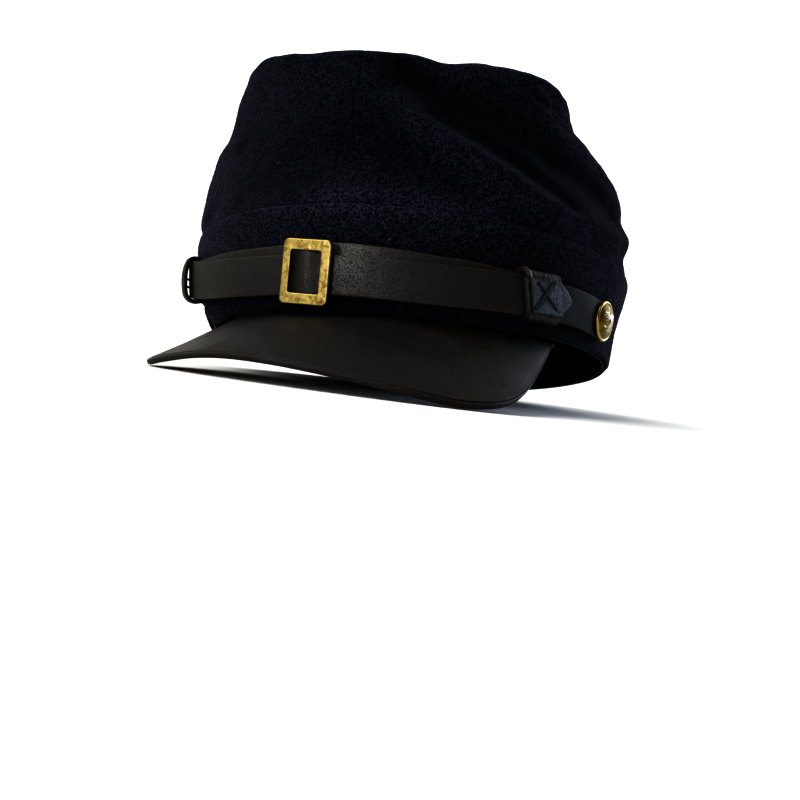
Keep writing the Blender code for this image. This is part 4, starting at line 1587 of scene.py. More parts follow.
@dataclass
class Peak:
    """The stiff leather peak: ruled from the band to its outer edge, slightly arched, with a pressed line."""

    line: BandLine
    leather: Material
    thickness: float = 2.2
    root_inset: float = 1.6
    ends: Pair = (-50.0, 56.5)  # angles at which the root ends
    arch: Table = (
        # share, rise of the middle
        (-1.0, -1.0),
        (-0.6, 0.2),
        (-0.3, 1.9),
        (0.0, 2.6),
        (0.5, 2.6),
        (1.0, 2.6),
    )
    drop: Table = (
        # angle, how far the root hangs below the band
        (-50.0, 3.0),
        (-46.0, 3.3),
        (-41.0, 2.1),
        (-36.0, 0.8),
        (-30.0, 0.45),
        (0.0, 0.45),
        (56.5, 0.45),
    )
    crease_in: float = 1.7  # from the outer edge to the pressed line
    swells: Table = ((0.22, 24.0, 61), (0.07, 7.0, 62))  # height, size, seed
    columns: int = 300
    rows_in: tuple[float, ...] = (  # from the outer edge to each of the last rows, close at the pressed line
        4.0, 3.0, 2.5, 2.2, 2.0, 1.85, 1.7, 1.6, 1.5, 1.4, 1.3, 1.15, 1.0, 0.8, 0.6, 0.4, 0.25, 0.12, 0.0
    )
    outline: Table = (
        # share, x, y, z
        (-1.00, -68.4, -55.2, -4.6),
        (-0.75, -69.3, -96.0, -19.0),
        (-0.50, -61.0, -123.5, -25.2),
        (-0.25, -34.4, -139.8, -24.2),
        (0.00, 0.0, -144.0, -27.4),
        (0.25, 34.4, -139.8, -32.8),
        (0.375, 49.5, -133.1, -34.8),
        (0.50, 61.0, -123.5, -33.5),
        (0.75, 68.7, -96.0, -21.0),
        (1.00, 68.0, -55.2, -1.6),
    )

    def borders(self, share: Array) -> tuple[Array, Array]:
        """The root's line under the band and the outer edge's line.

        Args:
            share: from -1 at the wearer's right end to 1 at the left.

        Returns:
            Points on the root and points on the outer edge.
        """
        angle = self.ends[0] + (self.ends[1] - self.ends[0]) * (share + 1) / 2
        root = self.line.beside(angle, -columns_at(self.drop, angle)[0], -self.root_inset)
        return root, np.stack(columns_at(self.outline, share), -1)

    def sheet(self, share: Array, out: Array) -> tuple[Array, Array]:
        """The middle of the top face: root + (edge - root) * out, arched by 4 * out * (1 - out).

        Args:
            share: from -1 at the wearer's right end to 1 at the left, one row.
            out: from 0 at the band to 1 at the outer edge, rows by columns.

        Returns:
            The points and their upward unit normals.
        """
        root, edge = self.borders(share)
        ruled = root + (edge - root) * out[..., None]
        reach = np.linalg.norm(edge - root, axis=-1)
        down = grid_normals(ruled, False, False)
        down *= -np.sign(down[..., 2:])
        arch = columns_at(self.arch, share)[0]
        top = ruled - (arch * np.clip(reach / 55, 0, 1) * 4 * out * (1 - out))[..., None] * down
        normal = grid_normals(top, False, False)
        return top, normal * np.sign(normal[..., 2:])

    def skin(self) -> Skin:
        """The whole peak: top face outwards, rounded edge, underside back to the band.

        Near the edge the rows keep a fixed distance from it, so that the pressed line and the rounded
        edge follow the outline: the line is a bell-shaped groove, and the edge a half ellipse.

        Returns:
            A skin closed from row to row and shut at both ends, marked along its cut edge.
        """
        share = np.linspace(-1, 1, self.columns)[None]
        root, edge = self.borders(share)
        reach = np.linalg.norm(edge - root, axis=-1)
        near = np.array(self.rows_in)[:, None]
        near = np.minimum(near, reach * near / (near[0] + 1.0))
        far = np.linspace(0, 1, 44)[:-1, None] * (1 - near[:1] / reach)
        out = np.concatenate([far, 1 - near / reach])
        top, normal = self.sheet(share, out)
        inward = (1 - out) * reach
        half = self.thickness / 2
        rim = np.sqrt(np.clip(1 - (1 - inward / 1.1).clip(0, 1) ** 2, 0, 1))
        middle = top - normal * half
        swell = rough(top, self.swells) * fade(out, 0.0, 0.2)
        beyond = inward - self.crease_in
        groove = -0.40 * hump(beyond, 0.26) + 0.12 * hump(beyond - 0.75, 0.45)
        upper = middle + normal * (half * rim + swell + groove)[..., None]
        lower = middle - normal * (half * rim - swell)[..., None]
        points = np.concatenate([upper, lower[::-1]])
        cut = hump(inward, 0.62)
        marks = {"edge": np.concatenate([cut, cut[::-1]])}
        return Skin(points, self.leather, round_rows=True, shut_columns=True, marks=marks)

    def build(self, bench: Bench) -> None:
        """Puts the peak on the bench."""
        bench.put("peak_leather_plate", [self.skin().solid()], Slot.LEATHER, ("peak",))


# ---- the chin strap


@dataclass
class Strap:
    """A flat leather strap that runs round the band at its own heights and distances."""

    name: str
    node: str
    course: Table  # angle, height of the middle, distance of the inner face
    degree: ClassVar[float] = 1.65  # millimetres along the strap
    line: BandLine
    leather: Material
    height: float = 14.0
    thickness: float = 1.6
    corner: float = 0.42
    point: float = 9.0  # length of the pointed end
    sharpness: float = 1.35
    humps: Table = ()  # angle, half width in millimetres, outward, taller by, middle raised by
    seed: int = 70
    pebbled: tuple[float, ...] = (-11.0, -6.0, 10.0, 32.0)  # angles where the grain rises and fades
    painted_blue_from: float = 40.0  # from this angle on a bluish reflection is painted on the face
    matt_shade_from: float = 200.0  # from this angle on the face is matt and painted darker, as shade

    def run(self, angle: Array) -> tuple[Array, Array]:
        """The strap's course, with its local humps.

        Args:
            angle: degrees round from the front.

        Returns:
            Height of the strap's middle, and distance of its inner face from the wool.
        """
        height, standoff = columns_at(self.course, angle)
        for at, half_width, outward, _, raised in self.humps:
            near = hump((angle - at) * self.degree, half_width)
            standoff, height = standoff + outward * near, height + raised * near
        return height, standoff

    def section(self) -> Array:
        """The strap's outline across, one row per point round it.

        Returns:
            Rows of side, from -1 to 1 across the flat; the corner's own offset in corner radii; out,
            from 0 at the inner face to 1 at the outer; and edge, 1 on the cut sides.
        """
        r = self.corner / self.thickness
        turn = np.radians(np.linspace(0, 90, 5))[1:-1]
        level = np.array([0.70, 0.5, 0.30])
        rise = 1 - r + r * np.cos(turn)
        shoulder = np.stack([1 + 0 * turn, np.sin(turn), rise, 0.3 + 0.5 * np.sin(turn)], -1)
        wall = np.stack([1 + 0 * level, 1 + 0 * level, level, 1 + 0 * level], -1)
        heel = np.stack([1 + 0 * turn, np.cos(turn), r - r * np.sin(turn), 0.7 + 0 * turn], -1)
        one_side = np.concatenate([shoulder, wall, heel])
        other_side = one_side[::-1] * (-1, -1, 1, 1)
        flat = np.linspace(-1, 1, 17)[:, None] * (1, 0, 0, 0)
        return np.concatenate([flat + (0, 0, 1, 0), one_side, flat[::-1], other_side])

    def skin(self) -> Skin:
        """The strap: its section carried along the course and narrowed at the pointed end.

        Half height h(d) = H * (1 - (1 - d / point)^sharpness)^(1 / sharpness) within `point` of the end.

        Returns:
            A skin closed round the section and shut at both ends, with the marks its leather reads.
        """
        first, last = self.course[0][0], self.course[-1][0]
        tail = self.point / self.degree
        even = np.linspace(first, last - tail, 300)[:-1]
        angle = np.concatenate([even, last - tail * np.linspace(1, 0, 26) ** 2])
        middle, standoff = self.run(angle)
        left = (last - angle) * self.degree
        tail = np.clip(1 - left / self.point, 0, 1) ** self.sharpness
        taller = sum((row[3] * hump((angle - row[0]) * self.degree, row[1]) for row in self.humps), 0.0)
        half = (self.height / 2 + taller) * np.clip(1 - tail, 0, 1) ** (1 / self.sharpness)
        half = np.maximum(half, self.corner + 0.05)
        side, bend, out, edge = self.section().T
        up = side[:, None] * (half - self.corner)[None] + bend[:, None] * self.corner
        edge_wave = 0.12 * lumps(np.stack([angle, 0 * angle, 0 * angle], -1), 7.0, self.seed + 2)
        dome = 0.16 * (1 - side**2)[:, None] * np.sign(out - 0.5)[:, None]
        away = standoff[None] + out[:, None] * self.thickness + dome * (out[:, None] > 0.5)
        place = self.line.beside(angle[None], middle[None] + up, away)
        wave = rough(place, ((0.16, 15.0, self.seed), (0.05, 4.0, self.seed + 1)))
        tip_end = fade(left, 0.0, 0.5)[None] * 0.35 + 0.65
        core = standoff + self.thickness / 2
        away = core + (away - core) * tip_end + wave
        points = self.line.beside(angle[None], middle[None] + up + edge_wave * side[:, None], away)
        start, full, wane, end = self.pebbled
        marks = {
            "edge": np.maximum(edge[:, None], hump(left, 0.5)[None]) + 0 * up,
            "pebble": (fade(angle, start, full) * (1 - 0.8 * fade(angle, wane, end)))[None] + 0 * up,
            # painted reflection of a bluish light on the pointed end
            "cool": fade(angle, self.painted_blue_from, self.painted_blue_from + 6.0)[None] + 0 * up,
            # matt, and painted darker as shade
            "dull": fade(angle, self.matt_shade_from, self.matt_shade_from + 6.0)[None] + 0 * up,
        }
        return Skin(points, self.leather, round_rows=True, shut_columns=True, marks=marks)

    def build(self, bench: Bench) -> None:
        """Puts the strap on the bench."""
        bench.put(self.name, [self.skin().solid()], Slot.LEATHER, (self.node,))


@dataclass
class Keeper:
    """A leather loop round both straps, made of one strip whose end laps over its beginning."""

    name: str
    node: str
    front: Strap
    back: Strap
    leather: Material
    thread: Material
    middle: float  # angle of its middle
    slack: float = 0.0  # how far the front bows out from the straps
    length: float = 15.0
    wall: float = 0.95
    roundness: float = 1.5
    skew: float = 0.0  # degrees round for each millimetre of height
    lap_end: float = 3.3  # height of the lap's cut end above the loop's inside bottom
    lapped: bool = True  # its end laps over the front; otherwise the ends meet behind the straps
    cross: Table = ()  # ends of the thread's two arms, as angle and height
    bridges: tuple[float, ...] = ()  # heights of threads that cross the room in front of the straps
    set_back: float = 0.0  # share of the half length that the lap's near edge stands in from the loop's
    bar: float = 0.0  # how far the loop's near edge is rolled up
    sag: float = 0.0  # how far it hangs below the straps
    swells: Table = ((0.10, 3.6, 81), (0.12, 9.0, 82))  # height, size, seed

    def frame(self, angle: Array) -> tuple[Array, Array, Array, Array]:
        """The room that the two straps take.

        Args:
            angle: degrees round from the front.

        Returns:
            Its bottom, top, back and front at each angle.
        """
        high_back, near = self.back.run(angle)
        high_front, far = self.front.run(angle)
        half = self.front.height / 2 + 0.35
        low = np.minimum(high_back, high_front) - half - self.sag
        high = np.maximum(high_back, high_front) + half
        return low, high, near - 0.3, far + self.front.thickness + 0.45

    def path(self, angle: Array) -> Array:
        """The strip's inner face seen along the strap, as (height, distance) pairs.

        Corner points joined by straight runs; each corner is rounded by the curve
        (1 - t)^2 * a + 2t(1 - t) * corner + t^2 * b between points on its two arms.

        Args:
            angle: one angle per column.

        Returns:
            Rows of steps along the strip by columns by two.
        """
        low, high, near, far = self.frame(angle)
        middle = (low + high) / 2
        if self.lapped:
            over = far + self.wall + 0.12
            corners = [(high - 2.2, far), (low, far), (low, near), (high, near)]
            corners += [(high + 0.15, over), (low + self.lap_end, over)]
        else:
            corners = [(middle, near), (low, near), (low, far), (high, far), (high, near)]
            corners += [(middle + 0.3, near)]
        stops = np.array([np.stack(np.broadcast_arrays(*corner), -1) for corner in corners])
        legs = np.linalg.norm(np.diff(stops, axis=0), axis=-1, keepdims=True)
        step = np.diff(stops, axis=0) / legs
        rows = []
        t = np.linspace(0, 1, 9)[:, None, None]
        start = stops[0]
        for k in range(1, len(stops) - 1):
            radius = np.minimum(self.roundness, 0.45 * np.minimum(legs[k - 1], legs[k]))
            before, after = stops[k] - step[k - 1] * radius, stops[k] + step[k] * radius
            run = np.linspace(0, 1, 16)[:-1, None, None]
            bend = (1 - t) ** 2 * before + 2 * t * (1 - t) * stops[k] + t**2 * after
            rows += [start + (before - start) * run, bend[:-1]]
            start = after
        rows.append(start + (stops[-1] - start) * np.linspace(0, 1, 22)[:, None, None])
        path = np.concatenate(rows)
        in_front = np.clip((path[..., 1] - near) / (far - near), 0, 1)
        from_middle = np.abs((path[..., 0] - middle + 1.3) / (high - middle)).clip(0, 1)
        path[..., 1] += self.slack * in_front * (1 - from_middle**2.3)
        return path

    def section(self) -> tuple[Array, Array, Array]:
        """The strip's outline across: two flats joined by round edges, each two quarters of an ellipse.

        Returns:
            Across, from -1 to 1; lift, from 0 on the inner face to 1 on the outer; and edge, 1 on the
            cut sides.
        """
        r = 0.3 / (self.length / 2)
        turn = np.radians(np.array([0, 22, 45, 68, 90]))
        side, bend = 1 - r + r * np.sin(turn), 0.38 * np.cos(turn)
        flat = np.linspace(-1 + r, 1 - r, 25)
        across = [flat, side[1:], side[-2::-1], flat[-2::-1], -side[1:], -side[-2:0:-1]]
        outer, inner = [np.ones(25), 0.62 + bend[1:]], [np.zeros(24), 0.38 - bend[1:]]
        lift = [*outer, 0.38 - bend[-2::-1], *inner, 0.62 + bend[-2:0:-1]]
        across, lift = np.concatenate(across), np.concatenate(lift)
        cut = np.where(np.abs(lift - 0.5) < 0.45, 1.0, 0.6)
        return across, lift, cut * (np.abs(across) > 1 - r * 1.02)

    def skin(self) -> Skin:
        """The strip: its section carried along the path, pressed in under the thread.

        Returns:
            A skin closed round the section and shut at both ends, marked on its cut sides, with a painted
            bluish reflection on its lap.
        """
        reach = np.degrees(self.length / 2 / 92)  # the strip lies about 92 mm from the band's middle
        across, lift, edge = self.section()
        angle = self.middle + across * reach
        path = self.path(angle)
        along = np.gradient(path, axis=0)
        outward = unit(np.stack([along[..., 1], -along[..., 0]], -1))
        centre = path.mean(0, keepdims=True)
        outward *= np.sign(((path - centre) * outward).sum())
        rows = len(path)
        thick = self.wall * np.ones((rows, 1))
        thick[:3] *= np.array([[0.75], [0.9], [0.97]])
        thick[-3:] *= np.array([[0.97], [0.93], [0.8]])
        place = self.front.line.beside(angle[None], path[..., 0], path[..., 1])
        uneven = rough(place, self.swells)
        lapped = fade(np.arange(rows)[:, None], rows - 24, rows - 19) * float(self.lapped)
        turned = angle[None] + lapped * self.set_back * reach * (1 - across[None])
        dents = lapped * self.pressed(turned, path[..., 0])
        bar = self.bar * hump(across[None] + 0.88, 0.09) * (1 - lapped) * (lift[None] > 0.5)
        rise = thick * lift[None] + uneven - dents + bar
        here = path + outward * rise[..., None]
        points = self.front.line.beside(self.skewed(turned, here[..., 0]), here[..., 0], here[..., 1])
        ends = hump(np.minimum(np.arange(rows), rows - 1 - np.arange(rows)), 1.0)[:, None]
        # painted reflection of a bluish light on the lap's face
        marks = {"edge": np.maximum(edge[None], ends), "cool": lapped * (1 - edge[None])}
        return Skin(points, self.leather, round_columns=True, shut_rows=True, marks=marks)

    def skewed(self, angle: Array, height: Array) -> Array:
        """The angle moved round by the loop's skew at this height."""
        return angle + self.skew * (height - self.front.run(np.array(self.middle))[0])

    def pressed(self, angle: Array, height: Array) -> Array:
        """How deep the thread pulls the lap in: a bell across each arm of the X, deeper at its holes.

        Args:
            angle: degrees round from the front.
            height: above the band's bottom edge.

        Returns:
            Millimetres inwards.
        """
        deep = 0 * angle * height
        for start, end in self.arms():
            scale = np.array([1.6, 1.0])  # millimetres in a degree and in a millimetre of height
            along = (np.array(end) - start) * scale
            here = np.stack(np.broadcast_arrays(angle - start[0], height - start[1]), -1) * scale
            holes = sum(hump(np.linalg.norm(here - along * stop, axis=-1), 0.7) for stop in (0.0, 1.0))
            deep = np.maximum(deep, 0.5 * hump(from_line(here, along), 1.0)) + 0.5 * holes
        return deep

    def arms(self) -> list[Table]:
        """The start and the end of each of the thread's arms."""
        return [self.cross[:2], self.cross[2:]] if self.cross else []

    def cord(self, angle: Array, height: Array, distance: Array, radius: float) -> Solid:
        """A three-ply thread along a path beside the band: radius * (1 + 0.16 * cos(3 * lay)).

        Args:
            angle: degrees round from the front, along the thread.
            height: above the band's bottom edge, along the thread.
            distance: out from the wool, along the thread.
            radius: the thread's mean radius.

        Returns:
            One closed body.
        """
        turned = self.skewed(angle, height)
        path = self.front.line.beside(turned, height, distance)
        out = unit(self.front.line.beside(turned, height, distance + 1) - path)
        along = unit(np.gradient(path, axis=0))
        across = unit(np.cross(along, out + (0.0, 0.0, 1e-6)))
        turn = np.linspace(0, 2 * np.pi, 12, endpoint=False)[:, None]
        wide = radius * (1 + 0.16 * np.cos(3 * (turn + np.linspace(0, 30, len(path))[None])))
        spokes = np.cos(turn)[..., None] * across + np.sin(turn)[..., None] * np.cross(across, along)
        return Skin(path + wide[..., None] * spokes, self.thread, round_rows=True, shut_columns=True).solid()

    def threads(self) -> list[Solid]:
        """The X, whose two threads lie on the lap and dive into it at their ends, and the bridges.

        Returns:
            One closed body per thread.
        """
        made = []
        for crossing, (start, end) in enumerate(self.arms()):
            t = np.linspace(-0.03, 1.03, 60)
            angle = start[0] + (end[0] - start[0]) * t
            height = start[1] + (end[1] - start[1]) * t
            sink = 0.8 * fade(np.abs(t - 0.5), 0.44, 0.53) - crossing * 0.34 * hump(t - 0.5, 0.08)
            far = self.frame(angle)[3] + 2 * self.wall + 0.04
            made.append(self.cord(angle, height, far - sink, 0.46))
        for level in self.bridges:
            far = float(self.frame(np.array([self.middle]))[3][0])
            t = np.linspace(-0.6, self.slack + 0.6, 12)
            made.append(self.cord(self.middle + 0.3 * t, level + 0.3 * t, far + t, 0.42))
        return made

    def build(self, bench: Bench) -> None:
        """Puts the loop and its thread on the bench."""
        bench.put(self.name, [self.skin().solid()], Slot.LEATHER, (self.node,))
        bench.put(self.name + "_thread", self.threads(), Slot.LEATHER, crease=38)


@dataclass
class Buckle:
    """The flat brass slide: a rectangular frame before the strap and a bar behind it."""

    line: BandLine
    brass: Material
    angle: float = -8.7
    height: float = 11.8
    standoff: float = 7.05
    lean: float = 3.6  # degrees that its top leans to the wearer's left
    size: Pair = (18.8, 23.2)
    window: Pair = (11.9, 15.0)
    window_shift: float = -0.35  # the left bar is narrower than the right one, as seen from the front
    thickness: float = 1.8
    bar: Pair = (3.0, 1.2)
    bar_depth: float = -2.95
    bar_end: float = 8.3  # from the buckle's middle to where the bar turns forward
    dents: Table = ((0.06, 3.4, 91), (0.035, 1.5, 92))  # height, size, seed

    @staticmethod
    def outline(width: float, height: float, radius: float) -> Array:
        """A rectangle with round corners: 14 points along each side and 10 round each corner.

        Args:
            width: from side to side.
            height: from bottom to top.
            radius: of its corners.

        Returns:
            Its points, in two columns.
        """
        quarter = np.radians(np.linspace(0, 90, 10))
        run = np.linspace(0, 1, 16)[1:-1]
        pieces = []
        for k, (side, rise) in enumerate(((1, 1), (-1, 1), (-1, -1), (1, -1))):
            centre = np.array([side * (width / 2 - radius), rise * (height / 2 - radius)])
            turn = quarter + k * np.pi / 2
            pieces.append(centre + radius * np.stack([np.cos(turn), np.sin(turn)], -1))
        joined = []
        for k in range(4):
            ahead = pieces[(k + 1) % 4]
            joined += [pieces[k], pieces[k][-1] + (ahead[0] - pieces[k][-1]) * run[:, None]]
        return np.concatenate(joined)

    def frame_skin(self) -> Skin:
        """The frame, whose section is a flat top between two rounded shoulders, on a flat back.

        Every point lies between the outer and the inner outline by a share, and each share has its
        own rise.

        Returns:
            A skin closed both ways, marked on its rubbed shoulders and in its corners.
        """
        outer = self.outline(*self.size, 2.1)
        inner = self.outline(*self.window, 0.9) + (self.window_shift, 0)
        turn = np.radians(np.linspace(0, 90, 7))
        shoulder = 0.13 * (1 - np.cos(turn))
        level = np.linspace(0.13, 0.88, 14)[1:-1]
        share = np.concatenate([[0.02, 0.0], shoulder, level, 1 - shoulder[::-1] * 0.9, [1.0, 0.98]])

        def across(back: Pair, near: Array, top: float, far: Array, front: Pair) -> Array:
            """A value for each share: on the outer wall, its shoulder, the top, and the inner ones."""
            return np.concatenate([back, near, np.full(len(level), top), far, front])

        curve = 0.70 + 0.30 * np.sin(turn)
        rise = across((0.0, 0.12), curve, 1.0, curve[::-1], (0.12, 0.0))
        flat = outer[None] + (inner - outer)[None] * share[:, None, None]
        place = np.concatenate([flat, 0 * flat[..., :1]], -1)
        on_top = (rise > 0.9)[:, None]
        uneven = rough(place, self.dents) * on_top
        wobble = 0.05 * lumps(place * (1, 1, 0), 4.0, 93)
        out = rise[:, None] * self.thickness + uneven
        points = np.concatenate([flat * (1 + wobble[..., None] * 0.06), out[..., None]], -1)
        bright, low = hump(turn - 0.9, 0.5), 1 - np.sin(turn)
        rubbed = across((0.0, 0.0), bright, 0.0, bright[::-1] * 0.8, (0.0, 0.0))
        grimy = across((0.8, 0.7), 0.5 * low, 0.0, 0.9 * low[::-1], (1.0, 1.0))
        marks = {"edge": rubbed[:, None] + 0 * out, "hollow": grimy[:, None] + 0 * out}
        return self.set_in(Skin(points, self.brass, round_rows=True, round_columns=True, marks=marks))

    def bar_skin(self) -> Skin:
        """The bar: a rounded flat section carried along a smoothed path.

        The path leaves the frame, passes behind the strap and comes back to the frame, and the
        section is a superellipse.

        Returns:
            A skin closed round the section and shut at both ends.
        """
        end, deep = self.bar_end, self.bar_depth
        one_end = [(end + 0.9, 0.5), (end + 0.9, -1.2), (end + 0.4, deep), (end - 1.4, deep)]
        stops = np.array([(-x, y) for x, y in one_end] + [(0.0, deep)] + one_end[::-1])
        walked = np.concatenate([[0], np.cumsum(np.linalg.norm(np.diff(stops, axis=0), axis=-1))])
        at = np.linspace(0, walked[-1], 70)
        path = np.stack([np.interp(at, walked, stops[:, k]) for k in (0, 1)], -1)
        for _ in range(3):
            path[1:-1] = (path[:-2] + 2 * path[1:-1] + path[2:]) / 4
        along = unit(np.gradient(path, axis=0))
        normal = np.stack([-along[:, 1], along[:, 0]], -1)
        turn = np.linspace(0, 2 * np.pi, 20, endpoint=False)
        wide = self.bar[0] / 2 * np.sign(np.cos(turn)) * np.abs(np.cos(turn)) ** 0.4
        thick = self.bar[1] / 2 * np.sign(np.sin(turn)) * np.abs(np.sin(turn)) ** 0.6
        ring = path[None] + thick[:, None, None] * normal[None]
        points = np.concatenate([wide[:, None, None] + 0 * ring[..., :1], ring], -1)
        return self.set_in(Skin(points, self.brass, round_rows=True, shut_columns=True))

    def set_in(self, skin: Skin) -> Skin:
        """Moves a skin from the buckle's own axes to its place on the band.

        Args:
            skin: drawn about the buckle's middle, with its last axis forward.

        Returns:
            The same skin.
        """
        here, axes = self.line.axes(self.angle, self.height, self.standoff, self.lean)
        skin.points = here + skin.points @ axes
        return skin

    def build(self, bench: Bench) -> None:
        """Puts the buckle on the bench."""
        bodies = [self.frame_skin().solid(), self.bar_skin().solid()]
        bench.put("slide_buckle_brass", bodies, Slot.BRASS, ("buckle",))


@dataclass
class Button:
    """A domed stamped button with a rolled rim and a spread eagle of the traditional kind."""

    name: str
    node: str
    line: BandLine
    brass: Material
    angle: float
    height: float
    standoff: float = 2.4
    radius: float = 7.8
    strokes: Table = (
        # x_1, y_1, x_2, y_2, half_width, rise: shares of the radius, and the rise in millimetres
        (0.00, 0.18, 0.00, -0.16, 0.135, 0.62),
        (0.00, 0.30, 0.03, 0.38, 0.075, 0.52),
        (0.05, 0.40, 0.13, 0.38, 0.040, 0.36),
        (0.00, -0.20, 0.00, -0.50, 0.055, 0.36),
        (-0.34, -0.34, -0.50, -0.26, 0.035, 0.26),
        (0.34, -0.34, 0.52, -0.30, 0.030, 0.26),
    )
    wing: Table = (
        # the same for a wing, a leg and an outer tail feather, which are mirrored
        (0.10, 0.16, 0.30, 0.34, 0.075, 0.46),
        (0.30, 0.34, 0.50, 0.38, 0.060, 0.42),
        (0.26, 0.30, 0.46, 0.16, 0.050, 0.38),
        (0.24, 0.22, 0.40, 0.02, 0.048, 0.34),
        (0.20, 0.14, 0.32, -0.10, 0.045, 0.30),
        (0.36, 0.34, 0.58, 0.24, 0.045, 0.34),
        (0.05, -0.20, 0.16, -0.46, 0.055, 0.34),
        (0.10, -0.20, 0.34, -0.34, 0.038, 0.30),
    )
    profile: Table = (
        # share of the radius, height: from the back over the rolled rim into the groove
        (0.30, 0.0),
        (0.86, 0.0),
        (0.95, 0.22),
        (0.995, 0.62),
        (1.0, 0.95),
        (0.985, 1.28),
        (0.95, 1.50),
        (0.915, 1.55),
        (0.885, 1.42),
        (0.862, 1.26),
        (0.845, 1.30),
    )

    def relief(self, x: Array, y: Array) -> Array:
        """Height of the stamped eagle: the highest of many strokes, each a bell across a short line.

        Args:
            x: shares of the radius to the wearer's left.
            y: shares of the radius upwards.

        Returns:
            Millimetres above the dome, before it is softened.
        """
        raised = np.zeros(x.shape)
        mirrored = tuple((-x_1, y_1, -x_2, y_2, *rest) for x_1, y_1, x_2, y_2, *rest in self.wing)
        for x_1, y_1, x_2, y_2, half_width, rise in self.strokes + self.wing + mirrored:
            away = from_line(np.stack([x - x_1, y - y_1], -1), np.array([x_2 - x_1, y_2 - y_1]))
            raised = np.maximum(raised, rise * np.exp(-((away / half_width) ** 4)))
        return raised

    def skin(self) -> Skin:
        """The button turned about its own axis: a rolled rim, a groove, and a dome that carries the relief.

        The dome rises by 2.1 * (1 - (share / 0.845)^2)^0.85 above the groove.

        Returns:
            A skin from the middle of its back to the middle of its face, with the marks its brass reads.
        """
        turn = np.linspace(0, 2 * np.pi, 168, endpoint=False)[None]
        start = np.array(self.profile)
        share = np.linspace(0.83, 0.02, 78)
        dome = 1.35 + 2.1 * (1 - (share / 0.845) ** 2) ** 0.85
        across = np.concatenate([start[:, 0], share])[:, None]
        out = np.concatenate([start[:, 1], dome])[:, None] + 0 * turn
        x, y = across * np.cos(turn), across * np.sin(turn)
        on_dome = fade(0.85 - across, 0.0, 0.05)
        stamped = self.relief(x, y)
        field_lines = 0.05 * np.sin(y * 95) * (stamped < 0.05)
        out = out + on_dome * (stamped * 0.75 + field_lines)
        points = np.stack([x * self.radius, y * self.radius, out], -1)
        hollow = on_dome * (1 - np.clip(stamped / 0.22, 0, 1)) * 0.75 + hump(across - 0.862, 0.022)
        hollow = hollow * (across > 0.01) * (np.arange(len(across))[:, None] > 5)
        edge = np.clip(stamped / 0.5, 0, 1) * on_dome + hump(across - 0.95, 0.05) * (out > 1.2)
        here, axes = self.line.axes(self.angle, self.height, self.standoff)
        raised = np.clip(stamped / 0.3, 0, 1) * on_dome
        marks = {"edge": edge.clip(0, 1), "hollow": hollow.clip(0, 1), "relief": raised}
        return Skin(here + points @ axes, self.brass, round_columns=True, shut_rows=True, marks=marks)

    def build(self, bench: Bench) -> None:
        """Puts the button on the bench."""
        bench.put(self.name, [self.skin().solid()], Slot.BRASS, (self.node,))


@dataclass
class ChinStrap:
    """The two straps with their keepers, slide buckle and side buttons."""

    line: BandLine
    finishes: Finishes
    front_course: Table = (
        # angle, height, standoff
        (-94.0, 20.4, 0.5),
        (-84.0, 20.6, 0.5),
        (-76.0, 20.3, 0.5),
        (-72.0, 19.8, 0.7),
        (-66.5, 18.9, 2.4),
        (-57.0, 17.0, 5.0),
        (-47.0, 13.7, 5.2),
        (-37.0, 12.1, 5.0),
        (-27.0, 11.4, 4.8),
        (-14.0, 11.3, 4.6),
        (-9.2, 11.3, 5.0),
        (-4.0, 11.2, 4.6),
        (8.0, 10.8, 4.3),
        (20.0, 10.8, 4.2),
        (33.0, 11.6, 4.3),
        (46.5, 12.9, 4.6),
        (54.8, 14.0, 4.6),
    )
    back_course: Table = (
        # angle, height, standoff
        (-65.0, 18.4, 1.0),
        (-57.0, 16.9, 2.9),
        (-47.0, 15.3, 3.0),
        (-39.0, 15.1, 2.8),
        (-24.0, 15.1, 2.0),
        (-9.2, 15.9, 1.3),
        (-3.0, 16.1, 1.4),
        (8.0, 15.4, 1.6),
        (20.0, 14.4, 1.9),
        (30.0, 13.8, 2.2),
        (46.5, 12.9, 2.6),
        (55.0, 13.3, 2.4),
        (64.0, 13.5, 1.4),
        (71.0, 13.4, 0.5),
        (77.0, 13.4, 0.5),
    )

    def build(self, bench: Bench) -> None:
        """Puts both straps, both keepers, the buckle and both buttons on the bench.

        Args:
            bench: where the pieces are put together.
        """
        leather, keeper, thread = self.finishes.strap, self.finishes.keeper, self.finishes.thread
        front = Strap(
            "front_strap_leather", "strap_front", self.front_course, self.line, leather, seed=70,
            humps=((-9.2, 4.8, 1.8, 0.0, 0.0), (-8.7, 6.0, 0.0, 0.8, 0.6)),
        )
        back = Strap(
            "back_strap_leather", "strap_back", self.back_course, self.line, leather, seed=75,
            # from 44 degrees on, the back strap is painted darker, as shade
            point=3.0, sharpness=2.0, pebbled=(-17.0, -12.0, 12.0, 30.0), painted_blue_from=200.0, matt_shade_from=44.0,
        )
        front.build(bench)
        back.build(bench)
        Keeper(
            "sewn_keeper_leather", "keeper_right", front, back, keeper, thread, middle=45.5, wall=1.25,
            roundness=2.6, skew=-0.138, lap_end=1.1, set_back=0.11, bar=0.8,
            cross=((43.8, 17.0), (48.3, 9.1), (47.9, 18.6), (42.7, 7.8)),
        ).build(bench)
        Keeper(
            "sliding_keeper_leather", "keeper_left", front, back, self.finishes.loop, thread, middle=-57.0,
            wall=1.25, roundness=3.2, slack=1.5, lapped=False, bridges=(16.6, 13.6), sag=0.5,
        ).build(bench)
        Buckle(self.line, self.finishes.buckle).build(bench)
        for side, angle, height in (("left", 71.8, 13.0), ("right", -88.0, 20.4)):
            brass = self.finishes.button
            Button(side + "_button_brass", "button_" + side, self.line, brass, angle, height).build(bench)


# ---- the studio


